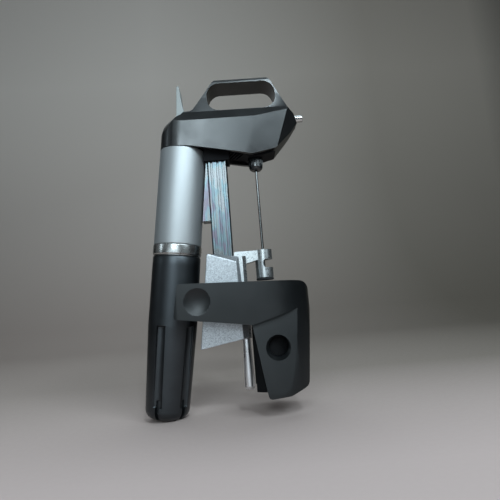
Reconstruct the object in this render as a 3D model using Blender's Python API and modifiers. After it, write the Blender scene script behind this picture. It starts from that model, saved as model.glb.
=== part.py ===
"""Needle wine opener: a gas-fed needle on a sliding head, with a two-jaw clamp for the bottle's neck.

Metres, +Z up along the needle. The origin is on the needle's axis, in the bottom face of the foot pad,
where the mouth of the bottle meets it. +X points to the spout, and the gas column leans away behind.
The opener is drawn at rest: head at the top of its travel, jaws closed, trigger released.
"""
from math import atan2, ceil, cos, pi, radians, sin, tan

import bmesh
import bpy
from mathutils import Matrix, Vector

# Driving sizes of the whole opener
COLUMN_TILT = radians(6.4)
COLUMN_OFFSET = 0.0589
COLUMN_RADIUS = 0.0155
HEAD_LOW = 0.0820
HEAD_HEIGHT = 0.0585
HEAD_NOSE = 0.0306
RAIL_OFFSET = 0.0262
GAP = 0.0003
OVERRUN = 0.0040
ARC_STEPS = 5
ROUND_SIDES = 32
SMALL_SIDES = 16
TINY_SIDES = 10
SHARP_ANGLE = radians(32)
WELD = 0.000002
BOTH_SIDES = {"near": -1, "far": 1}

for old in list(bpy.data.objects):
    bpy.data.objects.remove(old, do_unlink=True)

parts = bpy.data.collections.new("needle_wine_opener")
cutters = bpy.data.collections.new("cutters")
for collection in (parts, cutters):
    bpy.context.scene.collection.children.link(collection)

SIDEWAYS = Matrix.Rotation(pi / 2, 4, "X")
LENGTHWAYS = Matrix(((0, 0, 1, 0), (1, 0, 0, 0), (0, 1, 0, 0), (0, 0, 0, 1)))
COLUMN = Matrix.Translation((-COLUMN_OFFSET, 0, 0)) @ Matrix.Rotation(COLUMN_TILT, 4, "Y")


def finish(name, colour, roughness, metallic=0.0):
    """Return a plain Principled material."""
    material = bpy.data.materials.new(name)
    material.use_nodes = True
    shader = material.node_tree.nodes["Principled BSDF"]
    shader.inputs["Base Color"].default_value = (*colour, 1.0)
    shader.inputs["Roughness"].default_value = roughness
    shader.inputs["Metallic"].default_value = metallic
    return material


SATIN_BLACK = finish("satin_black", (0.030, 0.032, 0.036), 0.38)
MATTE_BLACK = finish("matte_black", (0.016, 0.016, 0.018), 0.62)
RUBBER = finish("rubber", (0.012, 0.012, 0.013), 0.85)
SATIN_ALUMINIUM = finish("satin_aluminium", (0.62, 0.64, 0.65), 0.34, 1.0)
SPARKLE_SILVER = finish("sparkle_silver", (0.58, 0.59, 0.62), 0.42, 0.8)
CLEAR_ANODISED = finish("clear_anodised", (0.66, 0.68, 0.72), 0.26, 1.0)
BRIGHT_CHROME = finish("bright_chrome", (0.80, 0.81, 0.82), 0.08, 1.0)
STEEL = finish("steel", (0.60, 0.60, 0.59), 0.22, 1.0)
PALE_PLASTIC = finish("pale_plastic", (0.62, 0.63, 0.62), 0.40)
BRASS = finish("brass", (0.72, 0.52, 0.24), 0.30, 1.0)


def settle(shape, name, place):
    """Make a closed mesh object from a bmesh, with its faces turned outwards."""
    bmesh.ops.remove_doubles(shape, verts=shape.verts, dist=WELD)
    bmesh.ops.recalc_face_normals(shape, faces=shape.faces)
    mesh = bpy.data.meshes.new(name)
    shape.to_mesh(mesh)
    shape.free()
    mesh.shade_smooth()
    mesh.set_sharp_from_angle(angle=SHARP_ANGLE)
    body = bpy.data.objects.new(name, mesh)
    parts.objects.link(body)
    body.matrix_world = place
    return body


def meshed(curve_object, name):
    """Turn a curve object into a closed mesh object in the same place."""
    bpy.context.view_layer.update()
    ready = curve_object.evaluated_get(bpy.context.evaluated_depsgraph_get())
    mesh = bpy.data.meshes.new_from_object(ready)
    shape = bmesh.new()
    shape.from_mesh(mesh)
    place = curve_object.matrix_world.copy()
    bpy.data.objects.remove(curve_object, do_unlink=True)
    bpy.data.meshes.remove(mesh)
    return settle(shape, name, place)


def prism(name, outline, low, high, place=Matrix()):
    """Extrude a flat outline along its normal, from low to high."""
    flat = bpy.data.curves.new(name, "CURVE")
    flat.dimensions = "2D"
    flat.fill_mode = "BOTH"
    flat.extrude = (high - low) / 2
    spline = flat.splines.new("POLY")
    spline.points.add(len(outline) - 1)
    for point, (across, along) in zip(spline.points, outline):
        point.co = (across, along, 0, 1)
    spline.use_cyclic_u = True
    body = bpy.data.objects.new(name, flat)
    parts.objects.link(body)
    body.matrix_world = place @ Matrix.Translation((0, 0, (low + high) / 2))
    return meshed(body, name)


def side_prism(name, outline, low, high):
    """Extrude an outline drawn in X and Z along Y, from low to high."""
    return prism(name, outline, -high, -low, SIDEWAYS)


def cylinder(name, radius, low, high, place=Matrix(), sides=ROUND_SIDES, top_radius=None):
    """Make a cylinder or a cone along the local Z axis, from low to high."""
    shape = bmesh.new()
    bmesh.ops.create_cone(shape, cap_ends=True, segments=sides, radius1=radius,
                          radius2=radius if top_radius is None else top_radius, depth=high - low,
                          matrix=Matrix.Translation((0, 0, (low + high) / 2)))
    return settle(shape, name, place)


def box(name, low, high, place=Matrix()):
    """Make a box between two opposite corners."""
    shape = bmesh.new()
    size = Vector(high) - Vector(low)
    middle = (Vector(high) + Vector(low)) / 2
    bmesh.ops.create_cube(shape, size=1, matrix=Matrix.Translation(middle) @ Matrix.Diagonal((*size, 1)))
    return settle(shape, name, place)


def turned(name, profile, place=Matrix(), sides=ROUND_SIDES, ring=False):
    """Turn a profile about the local Z axis. It runs down its outer side; a ring's profile closes."""
    mesh = bpy.data.meshes.new(name)
    edges = [(index, index + 1) for index in range(len(profile) - 1)]
    if ring:
        edges.append((len(profile) - 1, 0))
    mesh.from_pydata([(radius, 0, height) for radius, height in profile], edges, [])
    body = bpy.data.objects.new(name, mesh)
    parts.objects.link(body)
    body.matrix_world = place
    screw = body.modifiers.new("turn", "SCREW")
    screw.steps = sides
    screw.render_steps = sides
    screw.use_merge_vertices = True
    screw.merge_threshold = WELD
    return body


def tube(name, points, radius, place=Matrix(), rounding=2):
    """Run a round rod or wire through the points, with closed ends."""
    path = bpy.data.curves.new(name, "CURVE")
    path.dimensions = "3D"
    path.bevel_depth = radius
    path.bevel_resolution = rounding
    path.use_fill_caps = True
    spline = path.splines.new("POLY")
    spline.points.add(len(points) - 1)
    for point, spot in zip(spline.points, points):
        point.co = (*spot, 1)
    body = bpy.data.objects.new(name, path)
    parts.objects.link(body)
    body.matrix_world = place
    return meshed(body, name)


def work(body, tool, operation="DIFFERENCE"):
    """Cut, join or intersect a body with a tool, which is kept out of the model."""
    for collection in list(tool.users_collection):
        collection.objects.unlink(tool)
    cutters.objects.link(tool)
    tool.hide_render = True
    tool.display_type = "WIRE"
    change = body.modifiers.new(operation.lower(), "BOOLEAN")
    change.operation = operation
    change.solver = "EXACT"
    change.object = tool
    return body


def coat(body, material):
    """Give the body its one material."""
    body.data.materials.clear()
    body.data.materials.append(material)
    return body


def rounded(corners):
    """Turn (across, along, radius) corners into an outline with arcs at its corners."""
    outline = []
    for index, (across, along, radius) in enumerate(corners):
        here = Vector((across, along))
        before = Vector(corners[index - 1][:2]) - here
        after = Vector(corners[(index + 1) % len(corners)][:2]) - here
        if radius == 0:
            outline.append(tuple(here))
            continue
        half = before.angle(after) / 2
        room = min(before.length, after.length) / 2
        reach = min(radius / tan(half), room)
        start = here + before.normalized() * reach
        centre = here + (before.normalized() + after.normalized()).normalized() * (reach / cos(half))
        first = start - centre
        last = here + after.normalized() * reach - centre
        sweep = (atan2(last.y, last.x) - atan2(first.y, first.x) + pi) % (2 * pi) - pi
        for step in range(ARC_STEPS + 1):
            turn = Matrix.Rotation(sweep * step / ARC_STEPS, 2)
            outline.append(tuple(centre + turn @ first))
    return outline


def arc(radius, start, end, steps, middle=(0, 0)):
    """Return points along an arc, from one angle to another."""
    spots = []
    for step in range(steps + 1):
        angle = start + (end - start) * step / steps
        spots.append((middle[0] + radius * cos(angle), middle[1] + radius * sin(angle)))
    return spots


def mirrored(half):
    """Close an outline that is drawn on one side of its centre line."""
    return half + [(-across, along) for across, along in reversed(half) if across != 0]


def coil(radius, wire, low, high, turns, per_turn, start=0.0):
    """Return the points of a spring's curls, and print the least gap between its curls."""
    count = ceil(turns * per_turn)
    spots = []
    for step in range(count + 1):
        angle = start + 2 * pi * turns * step / count
        height = low + (high - low) * step / count
        spots.append(Vector((radius * cos(angle), radius * sin(angle), height)))
    gaps = []
    for index, spot in enumerate(spots):
        for other in spots[index + per_turn // 2:]:
            gaps.append((spot - other).length - 2 * wire)
    print("least gap between curls, mm:", round(min(gaps) * 1000, 2))
    return spots


def empty(name, place, parent=None):
    """Add an empty that stands on a joint's axis."""
    stand = bpy.data.objects.new(name, None)
    parts.objects.link(stand)
    stand.matrix_world = place
    if parent is not None:
        carry(stand, parent)
    return stand


def carry(body, parent):
    """Parent a body without moving it."""
    bpy.context.view_layer.update()
    body.parent = parent
    body.matrix_parent_inverse = parent.matrix_world.inverted()
    return body


# Levels along the gas column, from the needle's foot level
CUP_FLOOR_LEVEL = -0.0800
CUP_MOUTH_LEVEL = 0.0192
COLLAR_HEIGHT = 0.0070
REGULATOR_LENGTH = 0.0641
COLLAR_LOW = CUP_MOUTH_LEVEL + GAP
COLLAR_TOP = COLLAR_LOW + COLLAR_HEIGHT
REGULATOR_LOW = COLLAR_TOP + GAP
REGULATOR_TOP = REGULATOR_LOW + REGULATOR_LENGTH
HEAD_SEAT = REGULATOR_TOP + GAP
NECK_RADIUS = 0.0100
NECK_HEIGHT = 0.0060
NECK_TOP = REGULATOR_TOP + NECK_HEIGHT
SPIGOT_RADIUS = 0.0130
SPIGOT_LENGTH = 0.0178
SPIGOT_LOW = REGULATOR_LOW - SPIGOT_LENGTH
COLUMN_TOP_X = -COLUMN_OFFSET + HEAD_SEAT * sin(COLUMN_TILT)

# The head's outer form
HEAD_SPAN = HEAD_NOSE - COLUMN_TOP_X
HANDLE_HALF_WIDTH = 0.0100
HEAD_WALL = 0.0024
NOSE_LEAN = radians(19)
PIVOT_RISE = 0.0081
PIVOT_Z = NECK_TOP + PIVOT_RISE
PIVOT_BOSS_RADIUS = 0.0030
PIVOT_ROOM = 0.0008
CAVITY_ROOF = PIVOT_Z + PIVOT_BOSS_RADIUS + PIVOT_ROOM
HOLE_FLOOR = 0.0056
HANDLE_TOP_WALL = 0.0052
HOLE_LENGTH = 0.0463
HOLE_LOW = CAVITY_ROOF + HOLE_FLOOR
HOLE_HEIGHT = HEAD_LOW + HEAD_HEIGHT - HANDLE_TOP_WALL - HOLE_LOW
HOLE_BACK = -0.0298
HOLE_CORNER = 0.0085

# Side outline, as shares of the head's span behind the nose and of its height: back top, round to the chin
SIDE_SHARES = (
    (-0.165, 0.496, 0.085),
    (-0.023, 0.557, 0.137),
    (0.107, 0.571, 0.068),
    (0.323, 1.000, 0.154),
    (0.763, 1.000, 0.154),
    (0.922, 0.523, 0.034),
    (0.966, 0.489, 0.020),
    (1.000, 0.397, 0.017),
    (0.927, 0.262, 0.000),
    (0.835, 0.128, 0.000),
    (0.787, 0.065, 0.000),
    (0.583, 0.000, 0.000),
)
# Half of the cross-section above the crease, as shares of the handle's half width and the head's height
DOME_SHARES = ((1.00, 0.927), (0.86, 0.962), (0.62, 0.982), (0.32, 0.996), (0.00, 1.000))
CREASE_SHARE = 0.436
SHOULDER_SHARE = 0.550
# Half of the plan at the nose, as shares of the span and of the column's radius
NOSE_PLAN_SHARES = ((0.583, 1.000), (0.846, 0.775), (0.966, 0.258), (0.975, 0.000))
NOSE_LEVEL_SHARE = 0.262


def head_side_outline():
    """Outline of the head seen from the side, with its seat on the gas column."""
    corners = []
    for along, up, radius in SIDE_SHARES:
        corners.append((COLUMN_TOP_X + along * HEAD_SPAN, HEAD_LOW + up * HEAD_HEIGHT, radius * HEAD_HEIGHT))
    seat = []
    for across in (COLUMN_RADIUS / 2, -COLUMN_RADIUS - OVERRUN):
        spot = COLUMN @ Vector((across, 0, HEAD_SEAT))
        seat.append((spot.x, spot.z, 0))
    seat.append((seat[-1][0], corners[0][1], 0))
    return rounded(corners + seat)


def head_section(inset, top):
    """Cross-section of the head in Y and Z, drawn in by the inset."""
    wide = COLUMN_RADIUS - inset
    crease = HEAD_LOW + CREASE_SHARE * HEAD_HEIGHT - inset / 2
    shoulder = HEAD_LOW + SHOULDER_SHARE * HEAD_HEIGHT
    half = [(wide, HEAD_LOW - 2 * OVERRUN), (wide, crease), (HANDLE_HALF_WIDTH - inset / 2, shoulder)]
    for across, up in DOME_SHARES:
        half.append(((HANDLE_HALF_WIDTH - inset / 2) * across, HEAD_LOW + up * HEAD_HEIGHT))
    if top is None:
        return mirrored(half)
    if top <= crease:
        return mirrored([half[0], (wide, top)])
    rise = (top - crease) / (shoulder - crease)
    edge = wide + (HANDLE_HALF_WIDTH - inset / 2 - wide) * rise
    return mirrored(half[:2] + [(edge, top)])


def column_plan(inset):
    """Plan of the head seen along the gas column: a round back end and two straight sides."""
    radius = COLUMN_RADIUS - inset
    far_end = HEAD_SPAN + COLUMN_RADIUS
    return arc(radius, pi / 2, 3 * pi / 2, ROUND_SIDES // 2) + [(far_end, -radius), (far_end, radius)]


def nose_plan(inset):
    """Plan of the head seen along the leaning nose: straight sides that draw in to a blunt tip."""
    back = COLUMN_TOP_X - 2 * COLUMN_RADIUS
    half = [(back, COLUMN_RADIUS + OVERRUN)]
    start = NOSE_PLAN_SHARES[0]
    half.append((COLUMN_TOP_X + start[0] * HEAD_SPAN - COLUMN_RADIUS, COLUMN_RADIUS + OVERRUN))
    for along, across in NOSE_PLAN_SHARES:
        half.append((COLUMN_TOP_X + along * HEAD_SPAN - 2 * inset, max(across * COLUMN_RADIUS - inset, 0)))
    return half + [(along, -across) for along, across in reversed(half) if across != 0]


def nose_place():
    """Frame of the nose plan, which leans forward as it rises."""
    level = HEAD_LOW + NOSE_LEVEL_SHARE * HEAD_HEIGHT
    lean = Matrix(((1, 0, tan(NOSE_LEAN), 0), (0, 1, 0, 0), (0, 0, 1, 0), (0, 0, 0, 1)))
    return Matrix.Translation((0, 0, level)) @ lean


def sheared_prism(name, outline, low, high, place):
    """Extrude an outline and lean the result, with the lean in its mesh."""
    body = prism(name, outline, low, high)
    body.data.transform(place @ body.matrix_world)
    body.matrix_world = Matrix()
    return body


def make_head_shell():
    """Moulded head: cranked body, loop handle, hollow underneath, with a slot for the trigger."""
    reach = HEAD_HEIGHT + COLUMN_RADIUS
    shell = side_prism("head_shell", head_side_outline(), -COLUMN_RADIUS - OVERRUN, COLUMN_RADIUS + OVERRUN)
    length = HEAD_SPAN + 2 * COLUMN_RADIUS
    section = prism("head_section", head_section(0, None), COLUMN_TOP_X - length, HEAD_NOSE + length, LENGTHWAYS)
    work(shell, section, "INTERSECT")
    plan = prism("head_plan", column_plan(0), HEAD_SEAT - reach, HEAD_SEAT + reach, COLUMN)
    work(shell, plan, "INTERSECT")
    nose = sheared_prism("head_nose", nose_plan(0), -reach, reach, nose_place())
    work(shell, nose, "INTERSECT")
    cavity = prism("head_cavity", column_plan(HEAD_WALL), HEAD_SEAT - reach, HEAD_SEAT + reach, COLUMN)
    roof = prism("head_cavity_section", head_section(HEAD_WALL, CAVITY_ROOF), COLUMN_TOP_X - length,
                 CAVITY_FRONT, LENGTHWAYS)
    work(cavity, roof, "INTERSECT")
    inner_nose = sheared_prism("head_cavity_nose", nose_plan(HEAD_WALL), -reach, reach, nose_place())
    work(cavity, inner_nose, "INTERSECT")
    work(shell, cavity)
    work(shell, make_handle_hole())
    slot_low = (SLOT_BACK, -TRIGGER_HALF_WIDTH - 2 * GAP, CAVITY_ROOF - OVERRUN)
    slot_high = (SLOT_FRONT, TRIGGER_HALF_WIDTH + 2 * GAP, HEAD_LOW + HEAD_HEIGHT)
    work(shell, box("trigger_slot", slot_low, slot_high))
    work(shell, cylinder("spout_bore", SPOUT_RADIUS + GAP, -OVERRUN, 2 * SPOUT_LENGTH, spout_place(), SMALL_SIDES))
    work(shell, make_throat())
    pin_half = PIVOT_PIN_HALF_LENGTH + GAP
    work(shell, cylinder("pin_bore", PIVOT_PIN_RADIUS + GAP, -pin_half, pin_half, pivot_place(), SMALL_SIDES))
    return coat(shell, SATIN_BLACK)


def make_handle_hole():
    """Finger hole of the loop handle, a rounded oblong that runs right through."""
    front = HOLE_BACK + HOLE_LENGTH
    top = HOLE_LOW + HOLE_HEIGHT
    corners = ((HOLE_BACK, top, HOLE_CORNER), (HOLE_BACK, HOLE_LOW, HOLE_CORNER),
               (front, HOLE_LOW, HOLE_CORNER), (front, top, HOLE_CORNER))
    return side_prism("handle_hole", rounded(corners), -COLUMN_RADIUS - OVERRUN, COLUMN_RADIUS + OVERRUN)


# The spout and the wine's way to it
SPOUT_RADIUS = 0.0024
SPOUT_BORE = 0.0016
SPOUT_LENGTH = 0.0219
SPOUT_BACK = 0.0130
SPOUT_SHARE = 0.4615
SPOUT_LEVEL = HEAD_LOW + SPOUT_SHARE * HEAD_HEIGHT
SPOUT_RISE = radians(2)
SPOUT_CUT = radians(32)
THROAT_HALF_WIDTH = 0.0036
THROAT_BACK = -0.0040
CAVITY_FRONT = 0.0110


def spout_place():
    """Frame at the spout's inner end, with +Z along the spout."""
    turn = Matrix.Rotation(pi / 2 - SPOUT_RISE, 4, "Y")
    return Matrix.Translation((SPOUT_BACK, 0, SPOUT_LEVEL)) @ turn


def make_throat():
    """Pocket above the hollow, where the wine tube turns forward to the spout."""
    low = (THROAT_BACK, -THROAT_HALF_WIDTH, CAVITY_ROOF - OVERRUN)
    high = (SPOUT_BACK, THROAT_HALF_WIDTH, SPOUT_LEVEL + SPOUT_RADIUS + GAP)
    return box("wine_throat", low, high)


def make_spout():
    """Steel pouring tube, cut off at a slant."""
    profile = [(SPOUT_BORE, SPOUT_LENGTH), (SPOUT_RADIUS, SPOUT_LENGTH), (SPOUT_RADIUS, 0), (SPOUT_BORE, 0)]
    spout = turned("spout_tube", profile, spout_place(), SMALL_SIDES, ring=True)
    slant = Matrix.Translation((0, 0, SPOUT_LENGTH)) @ Matrix.Rotation(-SPOUT_CUT, 4, "Y")
    low = (-2 * OVERRUN, -2 * OVERRUN, SPOUT_RADIUS * tan(SPOUT_CUT) / 8)
    knife = box("spout_slant", low, (2 * OVERRUN, 2 * OVERRUN, 2 * OVERRUN), spout_place() @ slant)
    work(spout, knife)
    return coat(spout, STEEL)


# Underside of the head
CHASSIS_RECESS = 0.0024
CHASSIS_THICKNESS = 0.0024
CHASSIS_BACK = -0.0375
CHASSIS_GATE_FRONT = -0.0335
CHIN_HALF_WIDTH = 0.0085
CHIN_BACK = -0.0100
CHIN_LOW = 0.0826
RIB_COUNT = 5
RIB_WIDTH = 0.0010
RIB_PITCH = 0.0021
RIB_START = -0.0185
RIB_HALF_LENGTH = 0.0065
RIB_DROP = 0.0014
RIB_SLANT = radians(24)
SOCKET_WALL = 0.0016
SOCKET_LOW = 0.0812
RAIL_WIDTH = 0.0133
RAIL_HALF_DEPTH = 0.0060
RAIL_TOP = 0.0880
HUB_RADIUS = 0.00485
HUB_LOW = 0.0742
HUB_COLLAR_TOP = 0.0846
STEM_RADIUS = 0.0029
STEM_TOP = 0.0930


def chassis_level(along):
    """Height of the underside plate's lower face, which follows the edge of the shell."""
    chin = COLUMN_TOP_X + SIDE_SHARES[-1][0] * HEAD_SPAN
    if along > chin:
        front = COLUMN_TOP_X + SIDE_SHARES[-2][0] * HEAD_SPAN
        rise = SIDE_SHARES[-2][1] * HEAD_HEIGHT
        return HEAD_LOW + CHASSIS_RECESS + rise * (along - chin) / (front - chin)
    seat = COLUMN @ Vector((COLUMN_RADIUS / 2, 0, HEAD_SEAT))
    return HEAD_LOW + CHASSIS_RECESS + (seat.z - HEAD_LOW) * (chin - along) / (chin - seat.x)


def make_chassis():
    """Moulded underside: plate, short slanted ribs, a socket for the rail and a chin round the hub."""
    chin = COLUMN_TOP_X + SIDE_SHARES[-1][0] * HEAD_SPAN
    front = CAVITY_FRONT - GAP
    half = COLUMN_RADIUS - HEAD_WALL - GAP
    stops = (CHASSIS_BACK, chin, front)
    low_edge = [(stop, chassis_level(stop)) for stop in stops]
    high_edge = [(stop, chassis_level(stop) + CHASSIS_THICKNESS) for stop in reversed(stops)]
    chassis = side_prism("head_chassis", low_edge + high_edge, -half, half)
    trim = sheared_prism("chassis_trim", nose_plan(HEAD_WALL + GAP), -HEAD_HEIGHT, HEAD_HEIGHT, nose_place())
    work(chassis, trim, "INTERSECT")
    work(chassis, make_chin(), "UNION")
    work(chassis, make_rail_socket(), "UNION")
    for index in range(RIB_COUNT):
        work(chassis, make_rib(index), "UNION")
    pocket_low = (-RAIL_OFFSET - RAIL_WIDTH / 2 - GAP, -RAIL_HALF_DEPTH - GAP, SOCKET_LOW - OVERRUN)
    pocket_high = (-RAIL_OFFSET + RAIL_WIDTH / 2 + GAP, RAIL_HALF_DEPTH + GAP, RAIL_TOP + GAP)
    work(chassis, box("rail_pocket", pocket_low, pocket_high))
    column_clearance = cylinder("column_clearance", COLUMN_RADIUS + GAP, 0, REGULATOR_TOP + GAP, COLUMN)
    work(chassis, column_clearance)
    gate = GAS_TUBE_RADIUS + GAP
    gate_top = chassis_level(CHASSIS_BACK) + CHASSIS_THICKNESS + OVERRUN
    gate_low = (CHASSIS_BACK - OVERRUN, -gate, chassis_level(CHASSIS_BACK) - OVERRUN)
    work(chassis, box("gas_tube_gate", gate_low, (CHASSIS_GATE_FRONT, gate, gate_top)))
    work(chassis, cylinder("hub_bore", STEM_RADIUS + GAP, HUB_LOW, STEM_TOP + OVERRUN, sides=SMALL_SIDES))
    work(chassis, cylinder("hub_counterbore", HUB_RADIUS + GAP, HUB_LOW, HUB_COLLAR_TOP + GAP, sides=SMALL_SIDES))
    return coat(chassis, MATTE_BLACK)


def make_chin():
    """Boss under the nose that carries the needle's hub."""
    front = COLUMN_TOP_X + SIDE_SHARES[-2][0] * HEAD_SPAN
    inner = CAVITY_FRONT - 4 * GAP
    edge = HEAD_LOW + SIDE_SHARES[-2][1] * HEAD_HEIGHT
    corners = ((CHIN_BACK, chassis_level(CHIN_BACK) + GAP, 0),
               (inner, chassis_level(inner) + CHASSIS_THICKNESS / 2, 0),
               (inner, edge - CHASSIS_RECESS / 2, 0),
               (front, edge - CHASSIS_RECESS / 2, 0),
               (front - CHASSIS_RECESS, CHIN_LOW + CHASSIS_RECESS / 2, 0),
               (HUB_RADIUS, CHIN_LOW, 0),
               (CHIN_BACK / 2, CHIN_LOW + GAP, 0))
    return side_prism("chassis_chin", rounded(corners), -CHIN_HALF_WIDTH, CHIN_HALF_WIDTH)


def make_rail_socket():
    """Walls that grip the top of the rail."""
    half = RAIL_HALF_DEPTH + GAP + SOCKET_WALL
    back = -RAIL_OFFSET - RAIL_WIDTH / 2 - GAP - SOCKET_WALL
    front = -RAIL_OFFSET + RAIL_WIDTH / 2 + GAP + SOCKET_WALL
    top = chassis_level(-RAIL_OFFSET) + CHASSIS_THICKNESS / 2
    return box("rail_socket", (back, -half, SOCKET_LOW), (front, half, top))


def make_rib(index):
    """One slanted rib on the plate's lower face."""
    along = RIB_START + index * RIB_PITCH
    level = chassis_level(along)
    turn = Matrix.Translation((along, 0, 0)) @ Matrix.Rotation(RIB_SLANT, 4, "Z")
    low = (-RIB_WIDTH / 2, -RIB_HALF_LENGTH, level - RIB_DROP)
    return box("chassis_rib", low, (RIB_WIDTH / 2, RIB_HALF_LENGTH, level + CHASSIS_THICKNESS / 2), turn)


# Screws of the underside
CHASSIS_SCREW_X = -0.0296
CHASSIS_SCREW_Y = 0.0096
SCREW_HEAD_RADIUS = 0.0014
SCREW_HEAD_HEIGHT = 0.0009


def screw_head(name, place):
    """Pan head of a small screw, seated on the plane z = 0 of its place."""
    radius = SCREW_HEAD_RADIUS
    high = GAP + SCREW_HEAD_HEIGHT
    return coat(cylinder(name, radius, GAP, high, place, TINY_SIDES, radius * 0.8), STEEL)


def make_chassis_screws():
    """Two screws that hold the underside plate, either side of the rail."""
    for label, side in BOTH_SIDES.items():
        level = chassis_level(CHASSIS_SCREW_X)
        slope = atan2(chassis_level(CHASSIS_SCREW_X - GAP) - level, GAP)
        spot = Matrix.Translation((CHASSIS_SCREW_X, side * CHASSIS_SCREW_Y, level))
        screw_head(label + "_chassis_screw", spot @ Matrix.Rotation(pi + slope, 4, "Y"))


# Trigger and valve
PIVOT_X = -0.0520
PIVOT_PIN_RADIUS = 0.0013
PIVOT_PIN_HALF_LENGTH = 0.0132
TRIGGER_HALF_WIDTH = 0.0066
TRIGGER_HEIGHT = 0.0316
TRIGGER_REACH = 0.0082
TRIGGER_TOE_DROP = 0.0004
SLOT_BACK = -0.0529
SLOT_FRONT = -0.0413
BOSS_START = radians(-10)
BOSS_END = radians(-262)
# Blade, flare and toe, as shares of the trigger's reach and height from its pivot
TRIGGER_SHARES = (
    (0.085, 0.400), (0.195, 1.000), (0.415, 1.000), (0.530, 0.665), (0.730, 0.405), (0.990, 0.330),
    (0.890, 0.240), (0.850, 0.000), (0.440, 0.000),
)


def pivot_place():
    """Frame on the trigger's pivot, with its Z axis across the head."""
    return Matrix.Translation((PIVOT_X, 0, PIVOT_Z)) @ SIDEWAYS


def make_trigger():
    """Thin blade that stands behind the handle, with a boss on its pivot pin and a toe on the valve."""
    outline = []
    for across, up in TRIGGER_SHARES:
        height = PIVOT_Z - TRIGGER_TOE_DROP + up * (TRIGGER_HEIGHT + TRIGGER_TOE_DROP)
        outline.append((PIVOT_X + across * TRIGGER_REACH, height))
    outline += arc(PIVOT_BOSS_RADIUS, BOSS_START, BOSS_END, 3 * ARC_STEPS, (PIVOT_X, PIVOT_Z))
    trigger = side_prism("trigger", outline, -TRIGGER_HALF_WIDTH, TRIGGER_HALF_WIDTH)
    reach = 2 * TRIGGER_HALF_WIDTH
    bore = cylinder("trigger_bore", PIVOT_PIN_RADIUS + GAP, -reach, reach, pivot_place(), SMALL_SIDES)
    return coat(work(trigger, bore), PALE_PLASTIC)


def make_trigger_pin():
    """Steel pin that the trigger turns on, held in the walls of the head."""
    length = PIVOT_PIN_HALF_LENGTH
    return coat(cylinder("trigger_pin", PIVOT_PIN_RADIUS, -length, length, pivot_place(), SMALL_SIDES), STEEL)


VALVE_PIN_RADIUS = 0.0015
VALVE_PIN_TOP = PIVOT_Z - GAP
VALVE_PIN_LOW = 0.0830
VALVE_TIP_LENGTH = 0.0029
VALVE_FLANGE_RADIUS = 0.0040
VALVE_FLANGE_THICKNESS = 0.0008
VALVE_FLANGE_TOP = VALVE_PIN_TOP - VALVE_TIP_LENGTH
VALVE_SPRING_RADIUS = 0.0032
VALVE_SPRING_WIRE = 0.0003
VALVE_SPRING_TURNS = 2.25
CURL_POINTS = 9


def make_valve():
    """Valve pin that the trigger's toe pushes down, and the spring that lifts it back."""
    flange_low = VALVE_FLANGE_TOP - VALVE_FLANGE_THICKNESS
    profile = [(0, VALVE_PIN_TOP), (VALVE_PIN_RADIUS, VALVE_PIN_TOP), (VALVE_PIN_RADIUS, VALVE_FLANGE_TOP),
               (VALVE_FLANGE_RADIUS, VALVE_FLANGE_TOP), (VALVE_FLANGE_RADIUS, flange_low),
               (VALVE_PIN_RADIUS, flange_low), (VALVE_PIN_RADIUS, VALVE_PIN_LOW), (0, VALVE_PIN_LOW)]
    pin = coat(turned("valve_pin", profile, COLUMN, SMALL_SIDES), STEEL)
    low = NECK_TOP + GAP + VALVE_SPRING_WIRE
    high = flange_low - GAP - VALVE_SPRING_WIRE
    curls = coil(VALVE_SPRING_RADIUS, VALVE_SPRING_WIRE, low, high, VALVE_SPRING_TURNS, CURL_POINTS)
    spring = coat(tube("valve_spring", curls, VALVE_SPRING_WIRE, COLUMN, 1), STEEL)
    return pin, spring


# Inside the head
HUB_SEAT_RADIUS = 0.0074
HUB_SEAT_HEIGHT = 0.0180
HUB_SEAT_TOP = HEAD_LOW + HUB_SEAT_HEIGHT
GAS_TUBE_RADIUS = 0.0012
GAS_TUBE_RISE = 0.0030
WINE_TUBE_RADIUS = 0.0016
TUBE_STEPS = 10


def curve_between(first, first_pull, last_pull, last, steps=TUBE_STEPS):
    """Points on a smooth cubic curve between two ends with two pulls."""
    spots = []
    for step in range(steps + 1):
        share = step / steps
        rest = 1 - share
        spots.append(first * rest ** 3 + first_pull * (3 * rest ** 2 * share)
                     + last_pull * (3 * rest * share ** 2) + last * share ** 3)
    return spots


def make_head_passages():
    """Block that the needle's hub seats in, the gas tube to it and the wine tube from it."""
    low = chassis_level(HUB_SEAT_RADIUS) + CHASSIS_THICKNESS + GAP
    seat = cylinder("hub_seat", HUB_SEAT_RADIUS, low, HUB_SEAT_TOP, sides=SMALL_SIDES)
    work(seat, cylinder("stem_bore", STEM_RADIUS + GAP, low - OVERRUN, STEM_TOP + GAP, sides=SMALL_SIDES))
    coat(seat, BRASS)
    neck = COLUMN @ Vector((NECK_RADIUS + 2 * GAP, 0, NECK_TOP - GAS_TUBE_RADIUS))
    level = HUB_SEAT_TOP - 2 * GAS_TUBE_RADIUS
    entry = Vector((-HUB_SEAT_RADIUS - GAP, 0, level))
    gas_way = curve_between(neck, neck + Vector((GAS_TUBE_RISE * 2, 0, GAS_TUBE_RISE)),
                            entry - Vector((GAS_TUBE_RISE * 3, 0, 0)), entry)
    coat(tube("gas_tube", gas_way, GAS_TUBE_RADIUS), STEEL)
    start = Vector((0, 0, HUB_SEAT_TOP + GAP))
    end = spout_place() @ Vector((0, 0, -GAP))
    rise = (end.z - start.z)
    wine_way = curve_between(start, start + Vector((0, 0, rise * 0.8)), end - Vector((rise * 0.8, 0, 0)), end)
    coat(tube("wine_tube", wine_way, WINE_TUBE_RADIUS), STEEL)


# Needle and hub
NEEDLE_RADIUS = 0.00085
NEEDLE_TIP = 0.0020
NEEDLE_POINT_LENGTH = 0.0045
NEEDLE_TOP = 0.0800
HUB_BORE = 0.00115
SEAL_THICKNESS = 0.0010


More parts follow.
